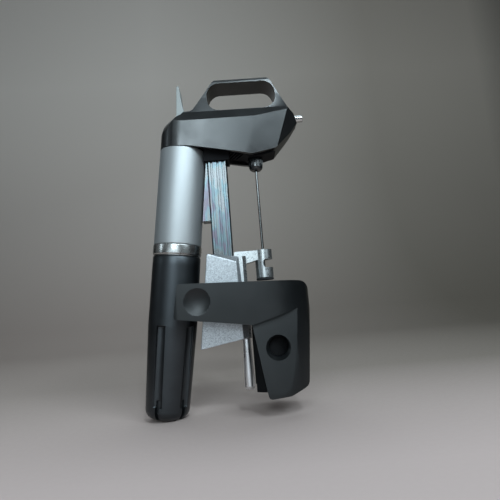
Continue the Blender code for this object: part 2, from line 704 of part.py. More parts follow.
def make_needle():
    """Hollow-ground needle, the knurled hub that carries it and the seal on the hub's stem."""
    shoulder = NEEDLE_TIP + NEEDLE_POINT_LENGTH
    profile = [(0, NEEDLE_TOP), (NEEDLE_RADIUS, NEEDLE_TOP), (NEEDLE_RADIUS, shoulder),
               (NEEDLE_RADIUS * 0.55, NEEDLE_TIP + NEEDLE_POINT_LENGTH * 0.3), (0, NEEDLE_TIP)]
    coat(turned("needle", profile, sides=TINY_SIDES), STEEL)
    dome = HUB_RADIUS * 0.42
    hub = [(HUB_BORE, STEM_TOP), (STEM_RADIUS, STEM_TOP), (STEM_RADIUS, HUB_COLLAR_TOP),
           (HUB_RADIUS, HUB_COLLAR_TOP), (HUB_RADIUS, HUB_LOW + dome),
           (HUB_RADIUS * 0.86, HUB_LOW + dome * 0.4), (HUB_RADIUS * 0.62, HUB_LOW), (HUB_BORE, HUB_LOW)]
    coat(turned("needle_hub", hub, sides=SMALL_SIDES + TINY_SIDES, ring=True), MATTE_BLACK)


# Gas column
PISTON_RADIUS = 0.0121
CHAMBER_RADIUS = 0.0125
CHAMBER_LOW_SHARE = 0.05
CHAMBER_TOP_SHARE = 0.83
PISTON_SHARE = 0.22
PISTON_THICKNESS = 0.0100
PISTON_STEM_RADIUS = 0.0030
REGULATOR_SPRING_RADIUS = 0.0080
REGULATOR_SPRING_WIRE = 0.0009
REGULATOR_SPRING_TURNS = 5
VALVE_BORE = VALVE_PIN_RADIUS + GAP
PIN_BORE = 0.0016
PIERCER_RADIUS = 0.0013
SEAL_POCKET_RADIUS = 0.0076
SEAL_POCKET_DEPTH = 0.0050
SEAL_INNER_RADIUS = 0.0049
EDGE = 0.0006


def make_regulator():
    """Turned aluminium regulator, with a spigot for the cup below and a neck in the head above."""
    chamber_low = REGULATOR_LOW + CHAMBER_LOW_SHARE * REGULATOR_LENGTH
    chamber_top = REGULATOR_LOW + CHAMBER_TOP_SHARE * REGULATOR_LENGTH
    pocket_top = SPIGOT_LOW + SEAL_POCKET_DEPTH
    profile = [(VALVE_BORE, NECK_TOP), (NECK_RADIUS, NECK_TOP), (NECK_RADIUS, REGULATOR_TOP),
               (COLUMN_RADIUS - EDGE, REGULATOR_TOP), (COLUMN_RADIUS, REGULATOR_TOP - EDGE),
               (COLUMN_RADIUS, REGULATOR_LOW), (SPIGOT_RADIUS, REGULATOR_LOW), (SPIGOT_RADIUS, SPIGOT_LOW),
               (SEAL_POCKET_RADIUS, SPIGOT_LOW), (SEAL_POCKET_RADIUS, pocket_top), (PIN_BORE, pocket_top),
               (PIN_BORE, chamber_low), (CHAMBER_RADIUS, chamber_low), (CHAMBER_RADIUS, chamber_top),
               (VALVE_BORE, chamber_top)]
    coat(turned("regulator_body", profile, COLUMN, ring=True), SATIN_ALUMINIUM)
    make_regulator_inside(chamber_low, chamber_top, pocket_top)


def make_regulator_inside(chamber_low, chamber_top, pocket_top):
    """Piston, its spring, the pin that pierces the capsule and the capsule's seal."""
    piston_low = chamber_low + PISTON_SHARE * (chamber_top - chamber_low)
    piston_top = piston_low + PISTON_THICKNESS
    stem_top = chamber_top - PISTON_THICKNESS / 2
    profile = [(0, stem_top), (PISTON_STEM_RADIUS, stem_top), (PISTON_STEM_RADIUS, piston_top),
               (PISTON_RADIUS, piston_top), (PISTON_RADIUS, piston_low), (0, piston_low)]
    coat(turned("regulator_piston", profile, COLUMN, SMALL_SIDES), BRASS)
    low = piston_top + GAP + REGULATOR_SPRING_WIRE
    high = chamber_top - GAP - REGULATOR_SPRING_WIRE
    curls = coil(REGULATOR_SPRING_RADIUS, REGULATOR_SPRING_WIRE, low, high, REGULATOR_SPRING_TURNS, CURL_POINTS)
    coat(tube("regulator_spring", curls, REGULATOR_SPRING_WIRE, COLUMN, 1), STEEL)
    tip = CAPSULE_TOP - PIERCED_DEPTH / 2
    pin = [(0, chamber_low), (PIERCER_RADIUS, chamber_low), (PIERCER_RADIUS, tip + PIERCER_RADIUS), (0, tip)]
    coat(turned("piercing_pin", pin, COLUMN, TINY_SIDES), STEEL)
    seal_top = pocket_top - GAP
    seal_low = SPIGOT_LOW + GAP
    seal = [(SEAL_INNER_RADIUS, seal_top), (SEAL_POCKET_RADIUS - GAP, seal_top),
            (SEAL_POCKET_RADIUS - GAP, seal_low), (SEAL_INNER_RADIUS, seal_low)]
    coat(turned("capsule_seal", seal, COLUMN, SMALL_SIDES, ring=True), RUBBER)


def make_collar():
    """Chromed collar between the regulator and the cup."""
    outer = COLUMN_RADIUS + GAP
    inner = SPIGOT_RADIUS + GAP
    profile = [(inner, COLLAR_TOP), (outer - EDGE, COLLAR_TOP), (outer, COLLAR_TOP - EDGE),
               (outer, COLLAR_LOW + 2 * EDGE), (outer - EDGE, COLLAR_LOW + EDGE), (outer - EDGE, COLLAR_LOW),
               (inner, COLLAR_LOW)]
    return coat(turned("collar_ring", profile, COLUMN, ring=True), BRIGHT_CHROME)


# Cup and capsule
CUP_WALL = 0.0041
CUP_FLOOR = 0.0040
CUP_TAPER = 0.0019
CUP_BOTTOM_ROUND = 0.0055
FLUTE_COUNT = 5
FLUTE_WIDTH = 0.0058
FLUTE_DEPTH = 0.0022
FLUTE_WALL = 0.0010
FLUTE_TOP = -0.0244
FLUTE_END = -0.0722
FLUTE_PHASE = radians(-19)
SLIT_WIDTH = 0.0026
SLIT_WALL = 0.0008
CAPSULE_RADIUS = 0.0110
CAPSULE_NECK_RADIUS = 0.0045
CAPSULE_BODY_LENGTH = 0.0660
CAPSULE_SHOULDER = 0.0140
CAPSULE_TOP = 0.0118
CAPSULE_WALL = 0.0018
PIERCED_RADIUS = 0.0019
PIERCED_DEPTH = 0.0040


def make_cup():
    """Screw-on cup of the capsule: a shell that narrows to its foot, with flutes and slits for grip."""
    radius = COLUMN_RADIUS
    bore = COLUMN_RADIUS - CUP_WALL
    mouth = SPIGOT_RADIUS + GAP
    step = SPIGOT_LOW - GAP
    foot = arc(CUP_BOTTOM_ROUND, 0, -pi / 2, 2 * ARC_STEPS,
               (radius - CUP_TAPER - CUP_BOTTOM_ROUND, CUP_FLOOR_LEVEL + CUP_BOTTOM_ROUND))
    floor = CUP_FLOOR_LEVEL + CUP_FLOOR
    profile = [(mouth, CUP_MOUTH_LEVEL), (radius - EDGE, CUP_MOUTH_LEVEL), (radius, CUP_MOUTH_LEVEL - EDGE),
               (radius, FLUTE_TOP)]
    profile += foot + [(0, CUP_FLOOR_LEVEL), (0, floor), (bore, floor), (bore, step), (mouth, step)]
    cup = cup_blank(profile)
    flute = [(radius - FLUTE_DEPTH, FLUTE_TOP), (bore + FLUTE_WALL, FLUTE_END), (radius + OVERRUN, FLUTE_END),
             (radius + OVERRUN, FLUTE_TOP)]
    rim = bore + SLIT_WALL
    slit = [(rim, FLUTE_END + OVERRUN), (rim, floor), (rim - CUP_BOTTOM_ROUND, floor - 2 * CUP_FLOOR),
            (radius + OVERRUN, floor - 2 * CUP_FLOOR), (radius + OVERRUN, FLUTE_END + OVERRUN)]
    for index in range(FLUTE_COUNT):
        angle = -pi / 2 + FLUTE_PHASE + index * 2 * pi / FLUTE_COUNT
        turn = COLUMN @ Matrix.Rotation(angle, 4, "Z") @ SIDEWAYS
        work(cup, prism("cup_flute", flute, -FLUTE_WIDTH / 2, FLUTE_WIDTH / 2, turn))
        work(cup, prism("cup_slit", slit, -SLIT_WIDTH / 2, SLIT_WIDTH / 2, turn))
    return coat(cup, SATIN_BLACK)


def cup_blank(profile):
    """Turn the cup's wall, whose profile meets the axis at the floor's two faces."""
    return turned("capsule_cup", profile_from_axis(profile), COLUMN)


def profile_from_axis(profile):
    """Start the profile at the floor's upper face on the axis and end it at the lower face."""
    inner = [spot for spot in profile if spot[0] == 0][-1]
    start = profile.index(inner)
    return profile[start:] + profile[:start]


def make_capsule():
    """Gas capsule that stands in the cup, hollow, with the pierced hole in its tip on the seal."""
    low = CUP_FLOOR_LEVEL + CUP_FLOOR + GAP
    shoulder = low + CAPSULE_BODY_LENGTH
    neck = shoulder + CAPSULE_SHOULDER
    radius = CAPSULE_RADIUS
    wall = CAPSULE_WALL
    outside = [(CAPSULE_NECK_RADIUS, CAPSULE_TOP), (CAPSULE_NECK_RADIUS, neck),
               (radius * 0.62, neck - CAPSULE_SHOULDER * 0.35), (radius * 0.92, neck - CAPSULE_SHOULDER * 0.72),
               (radius, shoulder), (radius, low + CUP_BOTTOM_ROUND), (radius * 0.82, low + CUP_BOTTOM_ROUND * 0.3),
               (radius * 0.5, low), (0, low)]
    inside = [(0, low + wall), (radius * 0.5, low + wall), (radius - wall, low + CUP_BOTTOM_ROUND + wall / 2),
              (radius - wall, shoulder - wall / 2), (radius * 0.62 - wall, neck - CAPSULE_SHOULDER * 0.35 - wall),
              (PIERCED_RADIUS, neck), (PIERCED_RADIUS, CAPSULE_TOP)]
    capsule = turned("gas_capsule", inside + outside, COLUMN, SMALL_SIDES + TINY_SIDES)
    return coat(capsule, STEEL)


# Rail
RAIL_LOW = -0.0300
GROOVE_WIDTH = 0.0014
GROOVE_DEPTH = 0.0009
GROOVE_SHARES = (-0.28, 0.02, 0.30)
FIN_HALF_WIDTH = 0.0050
FIN_LOW = 0.0410
STOP_HEIGHT = 0.0030
RAIL_EDGE = 0.0008


def rail_section():
    """Section of the extruded rail in X and Y, with grooves on its two broad faces."""
    half = RAIL_WIDTH / 2
    edge = [(-half, 0), (-half, -RAIL_HALF_DEPTH + RAIL_EDGE), (-half + RAIL_EDGE, -RAIL_HALF_DEPTH)]
    for share in GROOVE_SHARES:
        middle = share * RAIL_WIDTH
        edge += [(middle - GROOVE_WIDTH / 2, -RAIL_HALF_DEPTH),
                 (middle - GROOVE_WIDTH / 2, -RAIL_HALF_DEPTH + GROOVE_DEPTH),
                 (middle + GROOVE_WIDTH / 2, -RAIL_HALF_DEPTH + GROOVE_DEPTH),
                 (middle + GROOVE_WIDTH / 2, -RAIL_HALF_DEPTH)]
    edge += [(half - RAIL_EDGE, -RAIL_HALF_DEPTH), (half, -RAIL_HALF_DEPTH + RAIL_EDGE), (half, 0)]
    return edge + [(across, -depth) for across, depth in reversed(edge) if depth != 0]


def make_rail():
    """Extruded rail that guides the head, with a tapered fin beside the regulator."""
    stand = Matrix.Translation((-RAIL_OFFSET, 0, 0))
    rail = prism("rail", rail_section(), RAIL_LOW, RAIL_TOP, stand)
    fin_edge = []
    for level in (FIN_LOW, SOCKET_LOW - GAP):
        reach = -COLUMN_OFFSET + (COLUMN_RADIUS + 2 * GAP) / cos(COLUMN_TILT) + level * tan(COLUMN_TILT)
        fin_edge.append((reach, level))
    inner = -RAIL_OFFSET - RAIL_WIDTH / 2 + RAIL_EDGE
    fin = side_prism("rail_fin", [(inner, FIN_LOW)] + fin_edge + [(inner, fin_edge[1][1])],
                     -FIN_HALF_WIDTH, FIN_HALF_WIDTH)
    work(rail, fin, "UNION")
    coat(rail, CLEAR_ANODISED)
    half = RAIL_WIDTH / 2
    stop = box("rail_end_stop", (-half, -RAIL_HALF_DEPTH, RAIL_LOW - GAP - STOP_HEIGHT),
               (half, RAIL_HALF_DEPTH, RAIL_LOW - GAP), stand)
    coat(stop, MATTE_BLACK)


# Clamp body
CORE_LOW = -0.0355
CORE_TOP = 0.0158
CHANNEL_HALF_WIDTH = 0.0075
CORE_HALF_WIDTH = 0.0100
CORE_BACK = -0.0340
WEB_BACK = -0.0192
WEB_FRONT = -0.0118
CORE_CHAMFER = 0.0022
ARM_TOP = 0.0194
ARM_HALF_WIDTH = 0.0042
ARM_EDGE = 0.0010
ARM_FRONT_LOW = 0.0142
ARM_BACK_LOW = 0.0108
GUIDE_RADIUS = 0.0057
GUIDE_LOW = 0.0016
GUIDE_BORE = 0.0030
NOTCH_LOW = 0.0079
NOTCH_HIGH = 0.0133
NOTCH_BACK = -0.0008
NOTCH_ROUND = 0.0020
ROD_X = -0.0152
ROD_Y = 0.0070
ROD_RADIUS = 0.0023
ROD_END_RADIUS = 0.0033
ROD_LOW = -0.0660
ROD_TOP = 0.0060
KNUCKLE_RADIUS = 0.0044
KNUCKLE_LOW = -0.0235
KNUCKLE_HIGH = -0.0040
KNUCKLE_CLEARANCE = 0.0004


def core_plan():
    """Plan of the clamp body: a channel open towards the gas column, with a thick front web."""
    side = CORE_HALF_WIDTH
    half = [(CORE_BACK, CHANNEL_HALF_WIDTH), (CORE_BACK, side), (WEB_FRONT - CORE_CHAMFER, side),
            (WEB_FRONT, side - CORE_CHAMFER)]
    other = [(along, -across) for along, across in reversed(half)]
    return half + other + [(WEB_BACK, -CHANNEL_HALF_WIDTH), (WEB_BACK, CHANNEL_HALF_WIDTH)]


def make_core():
    """Cast clamp body with the arm and the tube that guide the needle."""
    core = prism("clamp_core", core_plan(), CORE_LOW, CORE_TOP)
    arm = ((WEB_BACK, CORE_TOP - OVERRUN, 0), (WEB_FRONT - CORE_CHAMFER, ARM_BACK_LOW, 0),
           (0, ARM_FRONT_LOW, 0), (GUIDE_RADIUS / 2, ARM_FRONT_LOW, 0), (GUIDE_RADIUS / 2, ARM_TOP, 0),
           (WEB_BACK, ARM_TOP, ARM_EDGE))
    work(core, side_prism("guide_arm", rounded(arm), -ARM_HALF_WIDTH, ARM_HALF_WIDTH), "UNION")
    work(core, cylinder("guide_barrel", GUIDE_RADIUS, GUIDE_LOW, ARM_TOP + GAP), "UNION")
    work(core, cylinder("guide_bore", GUIDE_BORE, GUIDE_LOW - OVERRUN, ARM_TOP + OVERRUN, sides=SMALL_SIDES))
    notch = ((NOTCH_BACK, NOTCH_LOW, NOTCH_ROUND), (GUIDE_RADIUS + OVERRUN, NOTCH_LOW, 0),
             (GUIDE_RADIUS + OVERRUN, NOTCH_HIGH, 0), (NOTCH_BACK, NOTCH_HIGH, NOTCH_ROUND))
    work(core, side_prism("guide_notch", rounded(notch), -2 * GUIDE_RADIUS, 2 * GUIDE_RADIUS))
    for side in BOTH_SIDES.values():
        rod = Matrix.Translation((ROD_X, side * ROD_Y, 0))
        work(core, cylinder("rod_bore", ROD_RADIUS + GAP, CORE_LOW - OVERRUN, ROD_TOP + GAP, rod, SMALL_SIDES))
        low = KNUCKLE_LOW - 2 * GAP
        high = KNUCKLE_HIGH + 2 * GAP
        room = KNUCKLE_RADIUS + KNUCKLE_CLEARANCE
        work(core, cylinder("knuckle_room", room, low, high, rod, SMALL_SIDES))
        gate = sorted((0, side * CORE_HALF_WIDTH))
        work(core, box("knuckle_gate", (-room, gate[0], low), (room, gate[1], high), rod))
    return coat(core, SPARKLE_SILVER)


COVER_OUTER = 0.0140
COVER_LIFT = 0.0003
COVER_LEVEL = CORE_TOP
# Corners of a side cover as X and Z: at its outer face, then at its inner face
COVER_BACK_TOP = (-0.0363, 0.0184)
COVER_FRONT_TOP = (-0.0180, 0.0120)
COVER_FRONT_LOW = (-0.0168, -0.0353)
COVER_BACK_LOW = (-0.0432, -0.0397)
COVER_BEVEL = 0.0034
COVER_TOP_RISE = 0.0038


def loft(name, sections):
    """Join two unlike outlines, each a list of 3-D points in the same order, into one solid."""
    shape = bmesh.new()
    loops = [[shape.verts.new(spot) for spot in section] for section in sections]
    count = len(loops[0])
    for index in range(count):
        after = (index + 1) % count
        shape.faces.new((loops[0][index], loops[0][after], loops[1][after], loops[1][index]))
    shape.faces.new(loops[0])
    shape.faces.new(loops[1])
    return settle(shape, name, Matrix())


def make_side_covers():
    """Faceted side covers of the clamp body, bevelled along their top and front edges."""
    inner = CORE_HALF_WIDTH + COVER_LIFT
    for label, side in BOTH_SIDES.items():
        outer_face = (COVER_BACK_TOP, COVER_FRONT_TOP, COVER_FRONT_LOW, COVER_BACK_LOW)
        inner_face = (COVER_BACK_TOP, (COVER_FRONT_TOP[0] + COVER_BEVEL / 2, COVER_FRONT_TOP[1] + COVER_TOP_RISE),
                      (COVER_FRONT_LOW[0] + COVER_BEVEL, COVER_FRONT_LOW[1]), COVER_BACK_LOW)
        sections = ([(x, side * COVER_OUTER, z) for x, z in outer_face],
                    [(x, side * inner, z) for x, z in inner_face])
        cover = loft(label + "_side_cover", sections)
        room = KNUCKLE_RADIUS + KNUCKLE_CLEARANCE
        gate = sorted((side * (inner - OVERRUN), side * (COVER_OUTER + OVERRUN)))
        low = (ROD_X - room, gate[0], KNUCKLE_LOW - 2 * GAP)
        high = (ROD_X + 3 * room, gate[1], KNUCKLE_HIGH + 2 * GAP)
        work(cover, box("cover_gate", low, high))
        coat(cover, SPARKLE_SILVER)


LINER_THICKNESS = 0.0008
COVER_SCREW_SPOTS = {"_upper_cover_screw": (-0.0305, -0.0060), "_lower_cover_screw": (-0.0330, -0.0190)}
PAD_BOTTOM_BORE = 0.0020


def make_clamp_fittings():
    """Slide liners, needle bushes, foot pad and the screws of the side covers."""
    half = RAIL_WIDTH / 2 - RAIL_EDGE
    for label, side in BOTH_SIDES.items():
        depths = sorted((side * (RAIL_HALF_DEPTH + GAP), side * (CHANNEL_HALF_WIDTH - GAP)))
        liner = box(label + "_slide_liner", (-RAIL_OFFSET - half, depths[0], CORE_LOW + GAP),
                    (-RAIL_OFFSET + half, depths[1], CORE_TOP - GAP))
        coat(liner, MATTE_BLACK)
    bore = NEEDLE_RADIUS + GAP
    outer = GUIDE_BORE - GAP
    bush = [(bore, ARM_TOP), (outer, ARM_TOP), (outer, NOTCH_HIGH + GAP), (bore, NOTCH_HIGH + GAP)]
    coat(turned("upper_guide_bush", bush, sides=SMALL_SIDES, ring=True), MATTE_BLACK)
    bush = [(bore, NOTCH_LOW - GAP), (outer, NOTCH_LOW - GAP), (outer, GUIDE_LOW), (bore, GUIDE_LOW)]
    coat(turned("lower_guide_bush", bush, sides=SMALL_SIDES, ring=True), MATTE_BLACK)
    pad = [(PAD_BOTTOM_BORE, GUIDE_LOW - GAP), (GUIDE_RADIUS, GUIDE_LOW - GAP), (GUIDE_RADIUS, 0),
           (PAD_BOTTOM_BORE, 0)]
    coat(turned("foot_pad", pad, ring=True), RUBBER)
    for label, side in BOTH_SIDES.items():
        for name, (along, level) in COVER_SCREW_SPOTS.items():
            spot = Matrix.Translation((along, side * COVER_OUTER, level))
            screw_head(label + name, spot @ Matrix.Rotation(-side * pi / 2, 4, "X"))


def make_rods():
    """Two steel rods that the clamps turn on; each swells to a rounded end below the clamp body."""
    for label, side in BOTH_SIDES.items():
        profile = [(0, ROD_TOP), (ROD_RADIUS, ROD_TOP), (ROD_RADIUS, CORE_LOW - GAP),
                   (ROD_END_RADIUS, ROD_LOW + ROD_END_RADIUS * 0.6),
                   (ROD_END_RADIUS * 0.8, ROD_LOW + ROD_END_RADIUS * 0.15), (ROD_END_RADIUS * 0.5, ROD_LOW),
                   (0, ROD_LOW)]
        rod = turned(label + "_clamp_rod", profile, Matrix.Translation((ROD_X, side * ROD_Y, 0)), SMALL_SIDES)
        coat(rod, BRIGHT_CHROME)


# Clamps
GRIP_RADIUS = 0.0148
PAD_THICKNESS = 0.0032
PAD_FRONT_ANGLE = radians(38)
PAD_BACK_ANGLE = radians(129)
JAW_INNER = GRIP_RADIUS + PAD_THICKNESS + GAP
JAW_WALL = 0.0092
JAW_OUTER = JAW_INNER + JAW_WALL
JAW_FRONT_ANGLE = radians(22)
JAW_BACK_ANGLE = radians(125)
JAW_LOW = -0.0692
LEVER_STEP = 0.0005
LEVER_THICKNESS = 0.0037
LEVER_OUTER = JAW_OUTER - LEVER_STEP
LEVER_INNER = LEVER_OUTER - LEVER_THICKNESS
LEVER_BACK = -0.0570
LEVER_DROP = 0.0254
LEVER_END_LENGTH = 0.0015
LEVER_END_DEPTH = 0.0012
# Side outline of a clamp's jaw, as shares of its outer radius and of its depth, with corner radii
JAW_SHARES = (
    (0.655, -0.038, 0.11), (0.938, -0.145, 0.14), (0.931, -0.231, 0.14), (0.720, -0.925, 0.14),
    (0.291, -0.986, 0.11), (-0.175, -1.000, 0.11), (-0.407, -0.390, 0.05),
)
# The same for its lever, as shares of its length and of its drop
LEVER_SHARES = ((0.353, -1.000, 0.04), (1.000, -0.795, 0.07), (0.947, 0.011, 0.07))
# Side outline of a pad, as shares of the jaw's outer radius and of its depth
PAD_SHARES = ((1.000, -0.188), (1.000, -0.840), (0.727, -0.896), (0.182, -0.965), (-1.000, -0.965),
              (-1.000, -0.188))
DIMPLE_X = -0.0427
DIMPLE_Z = -0.0110
DIMPLE_RADIUS = 0.0082
DIMPLE_DEPTH = 0.0015
EYE_X = 0.0033
EYE_Z = -0.0403
EYE_RADIUS = 0.0058
EYE_RIM = 0.0084
# Flat on the outside of a jaw below the lever, as shares of the jaw's outer radius and of its depth
FLAT_SHARES = ((-0.582, -0.410), (0.436, -0.295), (0.436, -1.100), (-0.582, -1.100))
FLAT_BACK_DEPTH = 0.0013
FLAT_FRONT_DEPTH = 0.0025
WEB_TOP = -0.0105
KNUCKLE_WEB_HALF = 0.0034


def clamp_plan(side):
    """Plan of one clamp: a straight finger lever that runs into a jaw curved round the bottle's neck."""
    outline = [(LEVER_BACK, LEVER_END_DEPTH - LEVER_OUTER), (LEVER_BACK + LEVER_END_LENGTH, -LEVER_OUTER)]
    outline += arc(JAW_OUTER, radians(-102), -JAW_FRONT_ANGLE, 12)
    outline += arc(JAW_INNER, -JAW_FRONT_ANGLE, -JAW_BACK_ANGLE, 12)
    outline += [(-LEVER_INNER * 0.58, -LEVER_INNER), (LEVER_BACK, -LEVER_INNER)]
    return [(along, -side * across) for along, across in outline]


def clamp_side_outline():
    """Outline of a clamp seen from the side, like a broad flag with its jaw hanging at the front."""
    corners = [(along * JAW_OUTER, -up * JAW_LOW, radius * JAW_OUTER) for along, up, radius in JAW_SHARES]
    for along, up, radius in LEVER_SHARES:
        corners.append((along * LEVER_BACK, up * LEVER_DROP, -radius * LEVER_BACK / 2))
    return rounded(corners)


def make_clamps():
    """Two clamps, mirror images, each with a finger lever, a jaw, a knuckle on its rod and a pad."""
    for label, side in BOTH_SIDES.items():
        rod = Matrix.Translation((ROD_X, side * ROD_Y, 0))
        reach = sorted((side * JAW_OUTER * 1.2, side * JAW_INNER * 0.2))
        clamp = side_prism(label + "_clamp", clamp_side_outline(), *reach)
        plan = prism("clamp_plan", clamp_plan(side), 2 * JAW_LOW, -JAW_LOW)
        work(clamp, plan, "INTERSECT")
        work(clamp, make_jaw_flat(side))
        web = sorted((0, side * (LEVER_INNER - ROD_Y + GAP)))
        half = KNUCKLE_WEB_HALF
        work(clamp, box("knuckle_web", (-half, web[0], KNUCKLE_LOW), (half, web[1], WEB_TOP), rod), "UNION")
        knuckle = cylinder("knuckle", KNUCKLE_RADIUS, KNUCKLE_LOW, WEB_TOP, rod, SMALL_SIDES)
        work(clamp, knuckle, "UNION")
        work(clamp, cylinder("knuckle_bore", ROD_RADIUS + GAP, 2 * KNUCKLE_LOW, 0, rod, SMALL_SIDES))
        work(clamp, make_dimple(side))
        work(clamp, make_eye(side))
        coat(clamp, SATIN_BLACK)
        make_pad(label, side)
        make_clamp_spring(label, side)


def make_dimple(side):
    """Ball that presses the shallow finger dimple into the lever's outer face."""
    ball = (DIMPLE_RADIUS ** 2 + DIMPLE_DEPTH ** 2) / (2 * DIMPLE_DEPTH)
    shape = bmesh.new()
    bmesh.ops.create_uvsphere(shape, u_segments=96, v_segments=64, radius=ball)
    keep = Matrix.Translation((DIMPLE_X, side * (LEVER_OUTER - DIMPLE_DEPTH + ball), DIMPLE_Z))
    return settle(shape, "lever_dimple", keep)


def jaw_flat_depth(along):
    """How far the flat lies inside the jaw's outer radius, which grows towards the front."""
    back, front = FLAT_SHARES[0][0] * JAW_OUTER, FLAT_SHARES[1][0] * JAW_OUTER
    return FLAT_BACK_DEPTH + (FLAT_FRONT_DEPTH - FLAT_BACK_DEPTH) * (along - back) / (front - back)


def make_jaw_flat(side):
    """Wedge that planes the flat on the jaw and leaves the lever standing proud above it."""
    spots = [(along * JAW_OUTER, -up * JAW_LOW) for along, up in FLAT_SHARES]
    sections = ([(x, side * (JAW_OUTER + OVERRUN), z) for x, z in spots],
                [(x, side * (JAW_OUTER - jaw_flat_depth(x)), z) for x, z in spots])
    return loft("jaw_flat", sections)


def make_eye(side):
    """Round hole through the jaw, with a wide countersunk rim."""
    level = JAW_OUTER - JAW_INNER
    rim = EYE_RIM - EYE_RADIUS
    profile = [(0, level), (EYE_RIM + level - rim / 2, level), (EYE_RADIUS, -rim), (EYE_RADIUS, -2 * level),
               (0, -2 * level)]
    seat = side * (JAW_OUTER - jaw_flat_depth(EYE_X))
    stand = Matrix.Translation((EYE_X, seat, EYE_Z)) @ Matrix.Rotation(-side * pi / 2, 4, "X")
    return turned("jaw_eye", profile, stand, ROUND_SIDES)


def make_pad(label, side):
    """Rubber pad that lines the jaw and follows its lower edge."""
    outer = JAW_INNER - GAP
    outline = arc(outer, -PAD_BACK_ANGLE, -PAD_FRONT_ANGLE, 8)
    outline += arc(GRIP_RADIUS, -PAD_FRONT_ANGLE, -PAD_BACK_ANGLE, 8)
    outline = [(along, -side * across) for along, across in outline]
    pad = prism(label + "_jaw_pad", outline, 2 * JAW_LOW, 0)
    edge = [(along * JAW_OUTER, -up * JAW_LOW) for along, up in PAD_SHARES]
    work(pad, side_prism("pad_outline", edge, *sorted((0, side * JAW_OUTER))), "INTERSECT")
    return coat(pad, RUBBER)


SPRING_COIL_RADIUS = 0.0033
SPRING_WIRE = 0.0004
SPRING_TURNS = 3.25
SPRING_LEG = 0.0060


def make_clamp_spring(label, side):
    """Torsion spring round the rod, above the knuckle, that keeps the jaws closed."""
    rod = Matrix.Translation((ROD_X, side * ROD_Y, 0)) @ Matrix.Diagonal((1, -side, 1, 1))
    low = WEB_TOP + GAP + SPRING_WIRE
    high = KNUCKLE_HIGH + GAP - SPRING_WIRE
    curls = coil(SPRING_COIL_RADIUS, SPRING_WIRE, low, high, SPRING_TURNS, CURL_POINTS, pi)
    first = curls[0] + Vector((0, -SPRING_LEG, 0))
    last = curls[-1] + Vector((-SPRING_LEG / 2, 0, 0))
    points = [rod @ spot for spot in [first] + curls + [last]]
    return coat(tube(label + "_clamp_spring", points, SPRING_WIRE, rounding=1), STEEL)


def assemble():
    """Hang every piece on the empty that stands on its joint's axis."""
    root = empty("clamp_stand", Matrix())
    head = empty("head_slide", Matrix.Translation((-RAIL_OFFSET, 0, 0)), root)
    cup = empty("cup_thread", COLUMN, head)
    trigger = empty("trigger_pivot", Matrix.Translation((PIVOT_X, 0, PIVOT_Z)), head)
    valve = empty("valve_slide", COLUMN, head)
    homes = {
        cup: ("capsule_cup", "gas_capsule"),
        trigger: ("trigger",),
        valve: ("valve_pin",),
        head: ("head_shell", "head_chassis", "near_chassis_screw", "far_chassis_screw", "trigger_pin",
               "valve_spring", "hub_seat", "gas_tube", "wine_tube", "spout_tube", "needle", "needle_hub",
               "regulator_body", "regulator_piston", "regulator_spring", "piercing_pin", "capsule_seal",
               "collar_ring", "rail", "rail_end_stop"),
        root: ("clamp_core", "upper_guide_bush", "lower_guide_bush", "foot_pad"),
    }
    for label in BOTH_SIDES:
        sides = ["_side_cover", "_slide_liner", "_clamp_rod", *COVER_SCREW_SPOTS]
        homes[root] += tuple(label + name for name in sides)
    for label, side in BOTH_SIDES.items():
        hinge = empty(label + "_hinge", Matrix.Translation((ROD_X, side * ROD_Y, 0)), root)
        homes[hinge] = (label + "_clamp", label + "_jaw_pad", label + "_clamp_spring")
    for home, names in homes.items():
        for name in names:
            carry(bpy.data.objects[name], home)


make_head_shell()
make_chassis()
make_chassis_screws()
make_spout()
make_trigger()
make_trigger_pin()
make_valve()
make_head_passages()
make_needle()
make_regulator()
make_collar()
make_cup()
make_capsule()
make_rail()
make_core()
make_side_covers()
make_clamp_fittings()
make_rods()
make_clamps()
assemble()
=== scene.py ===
"""Needle wine opener, dressed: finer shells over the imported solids, their finishes, a studio and a camera."""
from math import asin, atan2, cos, pi, radians, sin, tan

import bmesh
import bpy
from mathutils import Matrix, Vector


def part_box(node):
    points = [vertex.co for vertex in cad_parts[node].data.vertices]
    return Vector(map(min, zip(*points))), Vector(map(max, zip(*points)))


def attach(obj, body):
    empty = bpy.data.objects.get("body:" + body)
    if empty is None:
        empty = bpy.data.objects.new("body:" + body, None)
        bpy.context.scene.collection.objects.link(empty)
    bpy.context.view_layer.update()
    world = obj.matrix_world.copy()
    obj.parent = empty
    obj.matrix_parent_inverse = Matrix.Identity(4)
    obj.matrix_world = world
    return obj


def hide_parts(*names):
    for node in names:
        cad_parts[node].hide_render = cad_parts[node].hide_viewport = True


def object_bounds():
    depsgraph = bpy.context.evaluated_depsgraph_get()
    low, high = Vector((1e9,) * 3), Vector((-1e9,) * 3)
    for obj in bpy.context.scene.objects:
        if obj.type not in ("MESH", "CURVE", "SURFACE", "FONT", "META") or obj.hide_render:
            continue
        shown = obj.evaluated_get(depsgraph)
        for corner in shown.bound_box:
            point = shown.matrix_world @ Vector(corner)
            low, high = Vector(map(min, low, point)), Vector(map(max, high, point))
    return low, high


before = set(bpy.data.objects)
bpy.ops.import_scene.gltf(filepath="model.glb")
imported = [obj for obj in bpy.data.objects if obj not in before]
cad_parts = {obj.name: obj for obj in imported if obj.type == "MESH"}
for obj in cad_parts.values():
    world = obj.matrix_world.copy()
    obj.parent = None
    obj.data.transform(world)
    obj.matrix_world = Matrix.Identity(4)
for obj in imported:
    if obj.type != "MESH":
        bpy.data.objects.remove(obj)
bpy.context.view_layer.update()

# Head shell
# The black part that the hand holds, injection moulded in glass-filled nylon and painted satin. Its
# shoulders lean in to the handle, its back is rounded over behind the trigger, and its faces carry a very
# fine grain and faint smudges.


